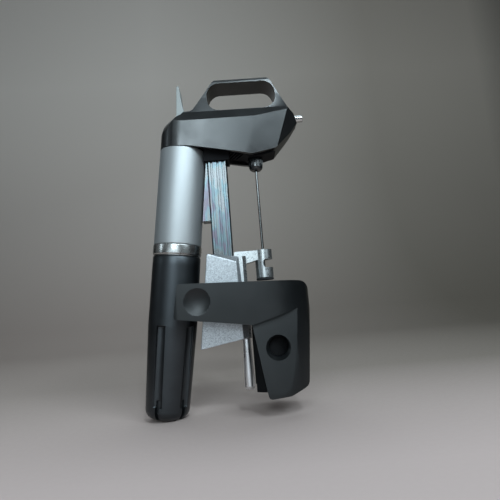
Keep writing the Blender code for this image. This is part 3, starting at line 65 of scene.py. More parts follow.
class Signal:
    """A value that changes over a surface. Sums and products of signals add the nodes that work them out."""

    def __init__(self, finish, socket):
        self.finish = finish
        self.socket = socket

    def join(self, operation, first, second):
        return self.finish.node("ShaderNodeMath", {"operation": operation}, {0: first, 1: second})

    def __add__(self, other):
        return self.join("ADD", self, other)

    def __sub__(self, other):
        return self.join("SUBTRACT", self, other)

    def __mul__(self, other):
        return self.join("MULTIPLY", self, other)


class Finish:
    """A material whose Principled shader is fed by patterns in the object's own coordinates."""

    def __init__(self, name, **steady):
        self.material = bpy.data.materials.new(name)
        self.material.use_nodes = True
        self.tree = self.material.node_tree
        self.shader = self.tree.nodes["Principled BSDF"]
        for socket, value in steady.items():
            self.shader.inputs[socket.replace("_", " ")].default_value = value

    def node(self, kind, settings=None, feeds=None, output=0):
        made = self.tree.nodes.new(kind)
        for name, value in (settings or {}).items():
            if name == "stops":
                ramp = made.color_ramp
                while len(ramp.elements) < len(value):
                    ramp.elements.new(1.0)
                for element, (position, colour) in zip(ramp.elements, value):
                    element.position = position
                    element.color = (*colour, 1.0)
            else:
                setattr(made, name, value)
        for socket, value in (feeds or {}).items():
            self.feed(made.inputs[socket], value)
        return Signal(self, made.outputs[output])

    def feed(self, socket, value):
        if isinstance(value, Signal):
            self.tree.links.new(value.socket, socket)
        else:
            socket.default_value = value

    def spot(self, turn=(0.0, 0.0, 0.0), stretch=(1.0, 1.0, 1.0)):
        """Object coordinates, turned about and stretched along the axes of the piece."""
        where = self.node("ShaderNodeTexCoord", output="Object")
        return self.node("ShaderNodeMapping", {}, {"Vector": where, "Rotation": turn, "Scale": stretch})

    def noise(self, size, detail=2.0, rough=0.5, spot=None):
        """Noise from 0 to 1 whose lumps are about that size, in metres."""
        return self.node("ShaderNodeTexNoise", {}, {"Vector": spot or self.spot(), "Scale": 1.0 / size,
                                                    "Detail": detail, "Roughness": rough})

    def cells(self, size):
        """A random value for each small cell of about that size, in metres."""
        colour = self.node("ShaderNodeTexVoronoi", {}, {"Vector": self.spot(), "Scale": 1.0 / size}, "Color")
        return self.node("ShaderNodeSeparateColor", {}, {0: colour})

    def blend(self, share, first, second):
        """Mix two colours."""
        return self.node("ShaderNodeMix", {"data_type": "RGBA"}, {0: share, 6: first, 7: second}, 2)

    def band(self, value, low, high, start=0.0, end=1.0):
        """Move a value from one range to another, held at its ends."""
        return self.node("ShaderNodeMapRange", {}, {"Value": value, "From Min": low, "From Max": high,
                                                    "To Min": start, "To Max": end})

    def relief(self, height, depth):
        """Bump of a height from 0 to 1, with its depth in metres."""
        return self.node("ShaderNodeBump", {}, {"Height": height, "Distance": depth})

    def wear(self, **links):
        """Feed the shader's changing sockets and return the material."""
        for socket, value in links.items():
            self.feed(self.shader.inputs[socket.replace("_", " ")], value)
        return self.material


def satin_black_finish(name, dark, light, gloss, grain, shine):
    """Black satin paint on a moulding: fine grain, faint smudges and a slight shift in tone."""
    paint = Finish(name, Specular_IOR_Level=shine)
    smudge = paint.noise(0.016, 4.0, 0.6)
    cloud = paint.noise(0.0045, 3.0, 0.55)
    fine = paint.noise(grain, 2.0, 0.6)
    tone = paint.blend(cloud * 0.5 + fine * 0.5, (*dark, 1.0), (*light, 1.0))
    rough = paint.band(smudge, 0.3, 0.7, gloss - 0.05, gloss + 0.07)
    return paint.wear(Base_Color=tone, Roughness=rough, Normal=paint.relief(fine, 0.000008))


def loose_copy(*nodes):
    """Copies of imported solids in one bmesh, with their triangles merged into whole faces."""
    shape = bmesh.new()
    for node in nodes:
        shape.from_mesh(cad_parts[node].data)
    bmesh.ops.remove_doubles(shape, verts=shape.verts, dist=0.000002)
    bmesh.ops.dissolve_limit(shape, angle_limit=radians(0.4), verts=shape.verts, edges=shape.edges)
    return shape


def settled(name, shape, corner):
    """Turn a bmesh into an object with smooth faces and sharp corners."""
    mesh = bpy.data.meshes.new(name)
    shape.to_mesh(mesh)
    shape.free()
    mesh.shade_smooth()
    mesh.set_sharp_from_angle(angle=radians(corner))
    piece = bpy.data.objects.new(name, mesh)
    bpy.context.scene.collection.objects.link(piece)
    return piece


def baked(piece):
    """Apply the piece's modifiers and clear them."""
    ready = piece.evaluated_get(bpy.context.evaluated_depsgraph_get())
    mesh = bpy.data.meshes.new_from_object(ready)
    piece.modifiers.clear()
    piece.data = mesh
    return piece


def round_edges(piece, width, corner):
    """Round every edge sharper than the corner angle, and keep the flats flat."""
    bevel = piece.modifiers.new("round_edges", "BEVEL")
    bevel.limit_method = "ANGLE"
    bevel.angle_limit = radians(corner)
    bevel.width = width
    bevel.segments = 3
    bevel.miter_outer = "MITER_ARC"
    bevel.harden_normals = True
    level = piece.modifiers.new("flats", "WEIGHTED_NORMAL")
    level.keep_sharp = True
    return baked(piece)


def fitted(piece, material, body, *nodes, slot):
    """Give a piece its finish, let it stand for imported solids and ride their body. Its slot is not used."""
    piece.data.materials.clear()
    piece.data.materials.append(material)
    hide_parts(*nodes)
    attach(piece, body)


def arc_spots(radius, start, end, steps, middle=(0.0, 0.0)):
    """Points on an arc, in the plane of a profile."""
    spots = []
    for step in range(steps + 1):
        angle = start + (end - start) * step / steps
        spots.append((middle[0] + radius * cos(angle), middle[1] + radius * sin(angle)))
    return spots


def skin(shape, first, second, closed=True):
    """Faces between two rows of corners, which may be closed to rings."""
    for index in range(len(first) if closed else len(first) - 1):
        after = (index + 1) % len(first)
        shape.faces.new((first[index], first[after], second[after], second[index]))


def slab(name, outline, low, high, place):
    """Extrude a closed outline between two heights, in the frame of its place."""
    shape = bmesh.new()
    rings = [[shape.verts.new(place @ Vector((spot[0], spot[1], height))) for spot in outline]
             for height in (low, high)]
    for ring in rings:
        shape.faces.new(ring)
    skin(shape, *rings)
    bmesh.ops.recalc_face_normals(shape, faces=shape.faces)
    return settled(name, shape, 30)


def combined(piece, tool, operation):
    """Join a tool to a piece, cut it out or keep what both share, and remove the tool."""
    step = piece.modifiers.new("combined", "BOOLEAN")
    step.operation = operation
    step.solver = "EXACT"
    step.object = tool
    baked(piece)
    bpy.data.objects.remove(tool)


head_paint = satin_black_finish("head_satin_black", dark=(0.0022, 0.0026, 0.0030),
                                light=(0.0050, 0.0058, 0.0066), gloss=0.32, grain=0.00028, shine=0.85)
moulding = settled("head_moulding", loose_copy("head_shell"), 24)

# The sides lean: each row is a level, the solid's half width there and the half width of the shell.
crease, shoulder, upper, dome = 0.1075, 0.1142, 0.1250, 0.1362
base_half, solid_half, slot_half = 0.0155, 0.0100, 0.0060
leans = ((crease, base_half, base_half), (shoulder, solid_half, 0.0124), (upper, solid_half, 0.0105),
         (dome, solid_half, 0.0093))
slices = bmesh.new()
slices.from_mesh(moulding.data)
bmesh.ops.bisect_plane(slices, geom=slices.verts[:] + slices.edges[:] + slices.faces[:],
                       plane_co=(0, 0, upper), plane_no=(0, 0, 1))
for vertex in slices.verts:
    if vertex.co.z > crease and abs(vertex.co.y) > slot_half:
        factor = leans[-1][2] / leans[-1][1]
        for low, high in zip(leans, leans[1:]):
            if low[0] <= vertex.co.z < high[0]:
                share = (vertex.co.z - low[0]) / (high[0] - low[0])
                factor = (low[2] + (high[2] - low[2]) * share) / (low[1] + (high[1] - low[1]) * share)
        vertex.co.y *= factor
slices.to_mesh(moulding.data)
slices.free()

# The rounded back: one profile cuts the corner away, turned about the back's own upright axis.
waste = arc_spots(0.0140, radians(107), radians(174.5), 15, (-0.0491, 0.1003))
waste_back, waste_top, waste_half = -0.0700, 0.1200, 0.0200
waste += [(waste_back, waste[-1][1]), (waste_back, waste_top), (waste[0][0], waste_top)]
back_axis = Vector((-0.0475, 0, 0))
for turn in (-34, -17, 0, 17, 34):
    stand = (Matrix.Translation(back_axis) @ Matrix.Rotation(radians(turn), 4, "Z")
             @ Matrix.Translation(-back_axis) @ Matrix.Rotation(pi / 2, 4, "X"))
    combined(moulding, slab("back_waste", waste, -waste_half, waste_half, stand), "DIFFERENCE")
moulding.data.shade_smooth()
moulding.data.set_sharp_from_angle(angle=radians(24))
fitted(round_edges(moulding, 0.0006, 24), head_paint, "head", "head_shell", slot="satin_black")

# Underside plate
# A black moulding let into the head from below. It carries the ribs, the socket that grips the rail and
# the boss of the needle's hub, and it is left as it comes from the tool, so it is duller than the head.


def matte_black_finish(name, colour, rough, grain, shine=0.2):
    """Unpainted black moulding with a spark-eroded texture."""
    plain = Finish(name, Specular_IOR_Level=shine)
    fine = plain.noise(grain, 3.0, 0.65)
    cloud = plain.noise(0.006, 2.0)
    lighter = tuple(1.9 * value for value in colour)
    tone = plain.blend(cloud * 0.6 + fine * 0.4, (*colour, 1.0), (*lighter, 1.0))
    return plain.wear(Base_Color=tone, Roughness=plain.band(cloud, 0.2, 0.8, rough - 0.06, rough + 0.06),
                      Normal=plain.relief(fine, 0.000014))


def dressed(name, material, body, *nodes, edge, corner=28, slot):
    """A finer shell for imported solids, with round edges, in its finish and riding where they ride."""
    piece = round_edges(settled(name, loose_copy(*nodes), corner), edge, corner)
    fitted(piece, material, body, *nodes, slot=slot)


plate_finish = matte_black_finish("plate_matte_black", (0.004, 0.004, 0.005), rough=0.72, grain=0.00022)
dressed("underside_plate", plate_finish, "head", "head_chassis", edge=0.00018, slot="matte_black")

# Needle and spout
# The needle goes through the cork and the short spout pours. Both are drawn stainless steel, with fine
# lines along their length. The needle is bonded in the hub, and the spout is pressed into the head.


def steel_finish(name, turn=(0.0, 0.0, 0.0), rough=0.2, stretch=(1.0, 1.0, 0.02), tone=0.60):
    """Drawn or ground steel, with fine lines that run along the piece's own length."""
    steel = Finish(name, Metallic=1.0)
    lines = steel.noise(0.00012, 3.0, 0.6, steel.spot(turn, stretch))
    stain = steel.noise(0.009, 3.0)
    low = (tone * 0.86, tone * 0.86, tone * 0.85, 1.0)
    high = (tone * 1.1, tone * 1.1, tone * 1.09, 1.0)
    return steel.wear(Base_Color=steel.blend(stain, low, high),
                      Roughness=steel.band(lines, 0.3, 0.7, rough - 0.05, rough + 0.09),
                      Normal=steel.relief(lines, 0.000004))


def softened(corners, radius, steps=4, closed=False):
    """Round the corners of a profile, each by the radius, or by its own third value where it has one."""
    made = []
    count = len(corners)
    for index, corner in enumerate(corners):
        here = Vector(corner[:2])
        if not closed and index in (0, count - 1):
            made.append(tuple(here))
            continue
        wanted = corner[2] if len(corner) > 2 else radius
        before = Vector(corners[index - 1][:2]) - here
        after = Vector(corners[(index + 1) % count][:2]) - here
        angle = before.angle(after)
        if angle > radians(172):
            made.append(tuple(here))
            continue
        reach = min(wanted / tan(angle / 2), 0.45 * before.length, 0.45 * after.length)
        start = here + before.normalized() * reach
        end = here + after.normalized() * reach
        for step in range(steps + 1):
            share = step / steps
            spot = start * (1 - share) ** 2 + here * (2 * share * (1 - share)) + end * share ** 2
            made.append(tuple(spot))
    return made


def circle_spots(radius, sides):
    """Points round a circle, or its middle alone where it has no radius."""
    if radius < 0.000001:
        return [(0.0, 0.0)]
    return [(radius * cos(2 * pi * side / sides), radius * sin(2 * pi * side / sides)) for side in range(sides)]


def spun(name, profile, place, sides=96, ring=False):
    """Turn a profile of radius and height about the place's Z axis. An open one closes on the axis."""
    shape = bmesh.new()
    loops = [[shape.verts.new(place @ Vector((*spot, height))) for spot in circle_spots(radius, sides)]
             for radius, height in profile]
    for first, second in zip(loops, loops[1:] + loops[:1] if ring else loops[1:]):
        for side in range(sides):
            after = (side + 1) % sides
            ends = [first[side % len(first)], first[after % len(first)], second[after % len(second)],
                    second[side % len(second)]]
            ends = list(dict.fromkeys(ends))
            if len(ends) > 2:
                shape.faces.new(ends)
    bmesh.ops.recalc_face_normals(shape, faces=shape.faces)
    return settled(name, shape, 40)


upright = Matrix()
needle_radius, needle_top, tip_shoulder = 0.00085, 0.0800, 0.0065
needle_profile = [(0, needle_top), (needle_radius, needle_top), (needle_radius, tip_shoulder),
                  (0.00072, 0.0050), (0.00046, 0.0034), (0.0, 0.0020)]
needle_finish = steel_finish("needle_steel", rough=0.14, tone=0.20)
fitted(spun("needle_shaft", needle_profile, upright, 24), needle_finish, "head", "needle", slot="steel")

spout_tilt = radians(88)
spout_place = Matrix.Translation((0.0130, 0, 0.10899775)) @ Matrix.Rotation(spout_tilt, 4, "Y")
spout_bore, spout_radius, spout_length = 0.0016, 0.0024, 0.0219
spout_corners = [(spout_bore, spout_length), (spout_radius, spout_length), (spout_radius, 0.0),
                 (spout_bore, 0.0)]
spout_finish = steel_finish("spout_steel", (0.0, -spout_tilt, 0.0), 0.18, (0.4, 0.4, 0.01), 0.66)
spout = spun("pouring_spout", softened(spout_corners, 0.00025, 3, True), spout_place, 48, True)
mouth_middle, mouth_slope = 0.02212, 0.623
for vertex in spout.data.vertices:
    local = spout_place.inverted() @ vertex.co
    slant = mouth_middle + mouth_slope * local.x
    if local.z > slant:
        local.z = slant
        vertex.co = spout_place @ local
fitted(spout, spout_finish, "head", "spout_tube", slot="steel")

# Hub of the needle
# A turned black hub with fine ribs for the fingers. The needle is bonded into it, and its stem seats in
# the head. The ribs are one small bar that a geometry tree sets out in a ring round the hub.


class Tree:
    """A geometry tree with named inputs, whose result is baked into one plain mesh."""

    def __init__(self, name, **sizes):
        self.tree = bpy.data.node_groups.new(name, "GeometryNodeTree")
        for way in ("INPUT", "OUTPUT"):
            self.tree.interface.new_socket("Geometry", in_out=way, socket_type="NodeSocketGeometry")
        self.values = {}
        for label, value in sizes.items():
            kind = "NodeSocketInt" if isinstance(value, int) else "NodeSocketFloat"
            socket = self.tree.interface.new_socket(label, in_out="INPUT", socket_type=kind)
            self.values[socket.identifier] = value
        self.entry = self.tree.nodes.new("NodeGroupInput")
        self.exit = self.tree.nodes.new("NodeGroupOutput")

    def input(self, label):
        return self.entry.outputs[label]

    def node(self, kind, settings=None, feeds=None):
        made = self.tree.nodes.new(kind)
        for name, value in (settings or {}).items():
            setattr(made, name, value)
        for socket, value in (feeds or {}).items():
            if isinstance(value, bpy.types.NodeSocket):
                self.tree.links.new(value, made.inputs[socket])
            else:
                made.inputs[socket].default_value = value
        return made.outputs[0]

    def math(self, operation, first, second):
        return self.node("ShaderNodeMath", {"operation": operation}, {0: first, 1: second})

    def grow(self, name, seeds, last, material):
        """Finish the tree with real copies in their material, run it on the seeds and bake it."""
        real = self.node("GeometryNodeRealizeInstances", {}, {0: last})
        done = self.node("GeometryNodeSetMaterial", {}, {0: real, "Material": material})
        self.tree.links.new(done, self.exit.inputs[0])
        piece = bpy.data.objects.new(name, seeds)
        bpy.context.scene.collection.objects.link(piece)
        setter = piece.modifiers.new("grow", "NODES")
        setter.node_group = self.tree
        for identifier, value in self.values.items():
            setter[identifier] = value
        return baked(piece)


hub_finish = matte_black_finish("hub_black", (0.005, 0.006, 0.007), rough=0.22, grain=0.00018, shine=1.0)
hub_bore, hub_neck, hub_grip = 0.00115, 0.0029, 0.0047
hub_top, hub_step, hub_foot = 0.0930, 0.0846, 0.0742
hub_corners = [(hub_bore, hub_top), (hub_neck, hub_top), (hub_neck, hub_step), (hub_grip, hub_step),
               (hub_grip, 0.0764), (0.0041, 0.0750), (0.0030, hub_foot), (hub_bore, hub_foot)]
fitted(spun("needle_hub_body", softened(hub_corners, 0.0005, 4, True), upright, 72, True), hub_finish, "head",
       "needle_hub", slot="matte_black")

ribs = Tree("hub_rib_ring", Count=30, Ring_Radius=hub_grip, Rib_Radius=0.00022, Rib_Length=0.0062,
            Middle=0.0808)
ring_feeds = {"Vertices": ribs.input("Count"), "Radius": ribs.input("Ring_Radius")}
ring_spots = ribs.node("GeometryNodeMeshCircle", {}, ring_feeds)
lift = ribs.node("ShaderNodeCombineXYZ", {}, {2: ribs.input("Middle")})
raised = ribs.node("GeometryNodeSetPosition", {}, {0: ring_spots, "Offset": lift})
rib = ribs.node("GeometryNodeMeshCylinder", {}, {"Vertices": 8, "Radius": ribs.input("Rib_Radius"),
                                                 "Depth": ribs.input("Rib_Length")})
rib_ring = ribs.node("GeometryNodeInstanceOnPoints", {}, {0: raised, "Instance": rib})
hub_ribs = ribs.grow("hub_ribs", bpy.data.meshes.new("hub_ribs"), rib_ring, hub_finish)
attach(hub_ribs, "head")

# Screws of the plate and of the side covers
# Small steel pan heads with a cross recess, driven into the mouldings. One tree makes them all, and
# stands each on its own spot of a seed mesh, turned the way that the seed's attribute says.
screw_steel = steel_finish("screw_steel", rough=0.22, stretch=(1.0, 1.0, 1.0), tone=0.58)


def screw_tree(name):
    """The tree of a set of screws: a tapered head with a cross cut into it."""
    tree = Tree(name, Head_Radius=0.0014, Head_Height=0.0009, Seat=0.0003, Slot_Width=0.00034,
                Slot_Length=0.0019, Slot_Depth=0.0005)
    top = tree.math("MULTIPLY", tree.input("Head_Radius"), 0.74)
    head = tree.node("GeometryNodeMeshCone", {}, {"Vertices": 28, "Side Segments": 1, "Radius Top": top,
                                                  "Radius Bottom": tree.input("Head_Radius"),
                                                  "Depth": tree.input("Head_Height")})
    level = tree.node("ShaderNodeCombineXYZ", {}, {2: tree.input("Head_Height")})
    reach, width = tree.input("Slot_Length"), tree.input("Slot_Width")
    height = tree.math("MULTIPLY", tree.input("Slot_Depth"), 2.0)
    bars = []
    for along, across in ((reach, width), (width, reach)):
        size = tree.node("ShaderNodeCombineXYZ", {}, {0: along, 1: across, 2: height})
        bar = tree.node("GeometryNodeMeshCube", {}, {"Size": size})
        bars.append(tree.node("GeometryNodeTransform", {}, {0: bar, "Translation": level}))
    cross = tree.node("GeometryNodeMeshBoolean", {"operation": "UNION"}, {1: bars[0]})
    tree.tree.links.new(bars[1], cross.node.inputs[1])
    cut = tree.node("GeometryNodeMeshBoolean", {"operation": "DIFFERENCE"}, {0: head, 1: cross})
    seat = tree.node("ShaderNodeCombineXYZ", {}, {2: tree.input("Seat")})
    seated = tree.node("GeometryNodeTransform", {}, {0: cut, "Translation": seat})
    turn = tree.node("GeometryNodeInputNamedAttribute", {"data_type": "FLOAT_VECTOR"}, {"Name": "turn"})
    return tree, tree.node("GeometryNodeInstanceOnPoints", {}, {0: tree.entry.outputs[0], "Instance": seated,
                                                                "Rotation": turn})


def set_of_screws(name, body, nodes, places):
    """Stand a screw on each place and bake them into one piece."""
    seeds = bpy.data.meshes.new(name)
    seeds.from_pydata([tuple(place.translation) for place in places], [], [])
    turns = seeds.attributes.new("turn", "FLOAT_VECTOR", "POINT")
    for entry, place in zip(turns.data, places):
        entry.vector = tuple(place.to_euler())
    tree, spots = screw_tree(name)
    piece = tree.grow(name, seeds, spots, screw_steel)
    piece.data.shade_smooth()
    piece.data.set_sharp_from_angle(angle=radians(25))
    fitted(piece, screw_steel, body, *nodes, slot="steel")


def middle_of(node):
    """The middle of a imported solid's box."""
    low, high = (Vector(corner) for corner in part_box(node))
    return low + (high - low) * 0.5


plate_screws = ("near_chassis_screw", "far_chassis_screw")
plate_lean = Matrix.Rotation(radians(170.8), 4, "Y")
seat_drop = plate_lean.to_3x3() @ Vector((0, 0, 0.00075))
plate_places = [Matrix.Translation(middle_of(screw) - seat_drop) @ plate_lean @ Matrix.Rotation(0.5, 4, "Z")
                for screw in plate_screws]
set_of_screws("plate_screws", "head", plate_screws, plate_places)

both_sides = (("near", -1), ("far", 1))
cover_face = 0.0140
cover_places = []
cover_screws = []
for label, side in both_sides:
    for screw, spin in (("_upper_cover_screw", 0.3), ("_lower_cover_screw", 1.0)):
        spot = middle_of(label + screw)
        spot.y = side * cover_face
        facing = Matrix.Rotation(-side * pi / 2, 4, "X")
        cover_places.append(Matrix.Translation(spot) @ facing @ Matrix.Rotation(spin, 4, "Z"))
        cover_screws.append(label + screw)
set_of_screws("cover_screws", "clamp_body", cover_screws, cover_places)

# Trigger and its pin
# A thin pale blade moulded in acetal, which stands behind the handle. It turns on a steel pin held in the
# walls of the head, and its toe pushes the valve pin down.


def coat(material, *nodes):
    """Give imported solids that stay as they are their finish."""
    for node in nodes:
        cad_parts[node].material_slots[0].material = material


trigger_plastic = Finish("trigger_acetal", Specular_IOR_Level=0.5)
mottle = trigger_plastic.noise(0.004, 3.0)
peel = trigger_plastic.noise(0.0006, 2.0)
trigger_plastic.wear(Base_Color=trigger_plastic.blend(mottle, (0.20, 0.215, 0.21, 1), (0.28, 0.295, 0.29, 1)),
                     Roughness=trigger_plastic.band(mottle, 0.3, 0.7, 0.30, 0.40),
                     Normal=trigger_plastic.relief(peel, 0.00001))
dressed("trigger_blade", trigger_plastic.material, "trigger", "trigger", edge=0.00025,
        slot="pale_plastic")
coat(steel_finish("pin_steel", (radians(90), 0, 0), 0.25), "trigger_pin")

# Valve and the fittings inside the head
# Turned and bent steel and brass that the shell hides: the valve pin and its spring, the gas and wine
# tubes, and the block that the hub seats in.
brass = Finish("turned_brass", Metallic=1.0)
rings = brass.noise(0.0002, 3.0, 0.6, brass.spot(stretch=(0.05, 0.05, 1.0)))
tarnish = brass.noise(0.005, 4.0)
brass.wear(Base_Color=brass.blend(tarnish, (0.62, 0.42, 0.17, 1), (0.80, 0.60, 0.30, 1)),
           Roughness=brass.band(tarnish, 0.3, 0.7, 0.24, 0.40), Normal=brass.relief(rings, 0.000005))
inner_steel = steel_finish("inner_steel", stretch=(1.0, 1.0, 1.0), rough=0.28)
coat(inner_steel, "valve_pin", "valve_spring", "gas_tube", "wine_tube", "piercing_pin", "regulator_spring")
coat(brass.material, "hub_seat", "regulator_piston")

# Regulator
# The long satin body behind the rail, turned from aluminium, bead blasted and clear anodised. Its spigot
# goes down into the cup and its neck up into the head.
column_lean, column_radius = radians(6.4), 0.0155
column = Matrix.Translation((-0.0589, 0, 0)) @ Matrix.Rotation(column_lean, 4, "Y")
along_column = (0.0, -column_lean, 0.0)
regulator_finish = Finish("blasted_aluminium", Metallic=1.0)
blast = regulator_finish.noise(0.00035, 4.0, 0.7)
handling = regulator_finish.noise(0.014, 3.0, 0.5)
draw = regulator_finish.noise(0.0012, 2.0, 0.5, regulator_finish.spot(along_column, (1.0, 1.0, 0.03)))
satin = blast * 0.70 + handling * 0.15 + draw * 0.15
regulator_finish.wear(Base_Color=regulator_finish.blend(satin, (0.43, 0.45, 0.46, 1), (0.56, 0.58, 0.59, 1)),
                      Roughness=regulator_finish.band(satin, 0.3, 0.7, 0.53, 0.62),
                      Normal=regulator_finish.relief(blast, 0.000045))
gas_way, port, spigot_bore, piston_bore, spigot, neck = 0.0016, 0.0018, 0.0076, 0.0125, 0.0130, 0.0100
regulator_top, neck_foot, body_foot, spigot_foot = 0.0969, 0.0909, 0.0268, 0.0090
web_low, web_high, piston_top = 0.0140, 0.0300, 0.0800
regulator_corners = [(port, regulator_top), (neck, regulator_top), (neck, neck_foot),
                     (column_radius, neck_foot), (column_radius, body_foot), (spigot, body_foot),
                     (spigot, spigot_foot), (spigot_bore, spigot_foot), (spigot_bore, web_low),
                     (gas_way, web_low), (gas_way, web_high), (piston_bore, web_high),
                     (piston_bore, piston_top), (port, piston_top)]
fitted(spun("regulator_tube", softened(regulator_corners, 0.0006, 5, True), column, 144, True),
       regulator_finish.material, "head", "regulator_body", slot="satin_aluminium")

# Collar ring
# A polished and chromed ring between the regulator and the cup, held by the spigot inside it.
chrome = Finish("polished_chrome", Metallic=1.0)
polish = chrome.noise(0.0001, 2.0, 0.5, chrome.spot(along_column, (0.02, 0.02, 1.0)))
breath = chrome.noise(0.008, 3.0)
chrome.wear(Base_Color=chrome.blend(breath, (0.50, 0.50, 0.49, 1), (0.60, 0.60, 0.59, 1)),
            Roughness=chrome.band(breath, 0.3, 0.7, 0.22, 0.30), Normal=chrome.relief(polish, 0.000002))
ring_bore, ring_radius, ring_lip = 0.0133, 0.0158, 0.0152
ring_top, ring_foot = 0.0265, 0.0195
collar_corners = [(ring_bore, ring_top), (ring_radius, ring_top), (ring_radius, 0.0207), (ring_lip, 0.0201),
                  (ring_lip, ring_foot), (ring_bore, ring_foot)]
fitted(spun("chrome_collar", softened(collar_corners, 0.0004, 4, True), column, 144, True), chrome.material,
       "head", "collar_ring", slot="bright_chrome")

# Cup and capsule
# The screw-on cup of the gas capsule, a black moulding with a faint metallic sheen, which narrows to a
# rounded foot. Five shallow hollow flutes run down its side, each with a narrow, deeper slit at its foot.
cup_black = Finish("cup_sheen_black", Metallic=1.0)
cup_cloud = cup_black.noise(0.010, 3.0)
cup_grain = cup_black.noise(0.00030, 3.0, 0.6)
cup_black.wear(Base_Color=cup_black.blend(cup_cloud * 0.5 + cup_grain * 0.5, (0.046, 0.050, 0.054, 1),
                                          (0.076, 0.082, 0.088, 1)),
               Roughness=cup_black.band(cup_cloud, 0.3, 0.7, 0.39, 0.44),
               Normal=cup_black.relief(cup_grain, 0.000010))
bore, mouth_bore = 0.0114, ring_bore
mouth, step_level, floor_level, foot_level = 0.0192, 0.0087, -0.0760, -0.0800
foot_radius, foot_round, mouth_round = 0.0136, 0.0055, 0.0006
flutes, first_flute = 5, -109
flute_top, flute_end, flute_half, flute_floor, flute_closing, flute_hollow = (
    -0.0244, -0.0722, 0.0029, 0.0129, 0.0009, 0.0011)
slit_top, slit_half, slit_floor, slit_slope = -0.0682, 0.0013, 0.0112, 0.6875
flute_lip, flute_stop = (-0.00012, 0.00022), (-0.0003, 0.0005)
slit_lip, slit_stop = (-0.00010, 0.00018), (-0.0003, 0.0004)


def smooth_step(value, low, high):
    """Rise from 0 to 1 between two bounds, with soft ends."""
    share = min(max((value - low) / (high - low), 0.0), 1.0)
    return share * share * (3 - 2 * share)


def groove_floor(across, level, radius):
    """Distance of the wall from the axis at a point across a flute, or the radius outside it."""
    flat = radius * cos(asin(min(across / radius, 1.0)))
    share = min(max((flute_top - level) / (flute_top - flute_end), 0.0), 1.0)
    flute = flute_floor - flute_closing * share + flute_hollow * min(across / flute_half, 1.0) ** 2
    within = smooth_step(flute_half - across, *flute_lip) * (
        smooth_step(flute_top - level, *flute_stop) * smooth_step(level - flute_end, *flute_stop))
    depth = flat + (min(flute, flat) - flat) * within
    slit = slit_floor - max(floor_level - level, 0.0) * slit_slope
    within = smooth_step(slit_half - across, *slit_lip) * smooth_step(slit_top - level, *slit_stop)
    return depth + (min(slit, depth) - depth) * within


def cup_rows():
    """Radius and level of each row of the outside, from the mouth down to the foot."""
    shoulder_level = mouth - mouth_round
    rows = [(mouth_bore, mouth), (column_radius - mouth_round, mouth), (column_radius - 0.0002, mouth - 0.0002),
            (column_radius, shoulder_level)]
    levels = [shoulder_level - 0.0053 * step for step in range(1, 8)]
    for edge, span in ((flute_top, 0.0004), (slit_top, 0.0004), (flute_end, 0.0005)):
        levels += [edge + span * share for share in (-2.0, -1.0, -0.6, -0.2, 0.2, 0.6, 1.0, 2.0)]
    levels += [flute_top - 0.0024 * step for step in range(1, 18)]
    taper_end = foot_level + foot_round
    for level in sorted(set(levels), reverse=True):
        if level > taper_end + 0.0003:
            share = max(flute_top - level, 0.0) / (flute_top - taper_end)
            rows.append((column_radius + (foot_radius - column_radius) * share, level))
    rows += arc_spots(foot_round, 0.0, -pi / 2, 18, (foot_radius - foot_round, taper_end))
    return rows


edge_marks = (-0.0006, -0.00025, -0.00012, -0.00004, 0.00004, 0.00012, 0.0002, 0.0004)
across_marks = [slit_half - mark for mark in edge_marks[2:]] + [flute_half - mark for mark in edge_marks]
across_marks = sorted(set(across_marks + [0.0, 0.0004, 0.0008, 0.0016, 0.0020, 0.0024]))
land_marks = [step / 9 for step in range(1, 10)]


def cup_ring(radius, level, cut):
    """The corners of one row, as X and Y about the column, with its flutes and slits."""
    corners = []
    for flute in range(flutes):
        centre = radians(first_flute + 360 / flutes * flute)
        half = []
        for across in across_marks:
            distance = groove_floor(across, level, radius) if cut else radius * cos(asin(across / radius))
            half.append((atan2(across, distance), (distance ** 2 + across ** 2) ** 0.5))
        last = half[-1][0]
        for share in land_marks:
            half.append((last + (pi / flutes - last) * share, radius))
        whole = [(-angle, away) for angle, away in reversed(half[1:-1])] + half
        corners += [(centre + angle, away) for angle, away in whole]
    return corners


cup_shape = bmesh.new()
cup_loops = []
inside = [(bore, floor_level), (bore, step_level), (mouth_bore, step_level)]
cup_levels = [(radius, level, False) for radius, level in inside]
cut_from = flute_top + 0.001
cup_levels += [(radius, level, level < cut_from) for radius, level in cup_rows()]
for radius, level, cut in cup_levels:
    ring = []
    for angle, away in cup_ring(radius, level, cut):
        ring.append(cup_shape.verts.new(column @ Vector((away * cos(angle), away * sin(angle), level))))
    cup_loops.append(ring)
last_ring = [column.inverted() @ vertex.co for vertex in cup_loops[-1]]
for share in (0.8, 0.55, 0.3):
    cup_loops.append([cup_shape.verts.new(column @ Vector((spot.x * share, spot.y * share, foot_level)))
                      for spot in last_ring])
for first, second in zip(cup_loops, cup_loops[1:]):
    skin(cup_shape, first, second)
for loop, level in ((cup_loops[0], floor_level), (cup_loops[-1], foot_level)):
    centre_vertex = cup_shape.verts.new(column @ Vector((0, 0, level)))
    for index in range(len(loop)):
        cup_shape.faces.new((loop[index], loop[(index + 1) % len(loop)], centre_vertex))
bmesh.ops.recalc_face_normals(cup_shape, faces=cup_shape.faces)
fitted(settled("screw_cup", cup_shape, 38), cup_black.material, "cup", "capsule_cup", slot="satin_black")
coat(steel_finish("capsule_steel", rough=0.24), "gas_capsule")

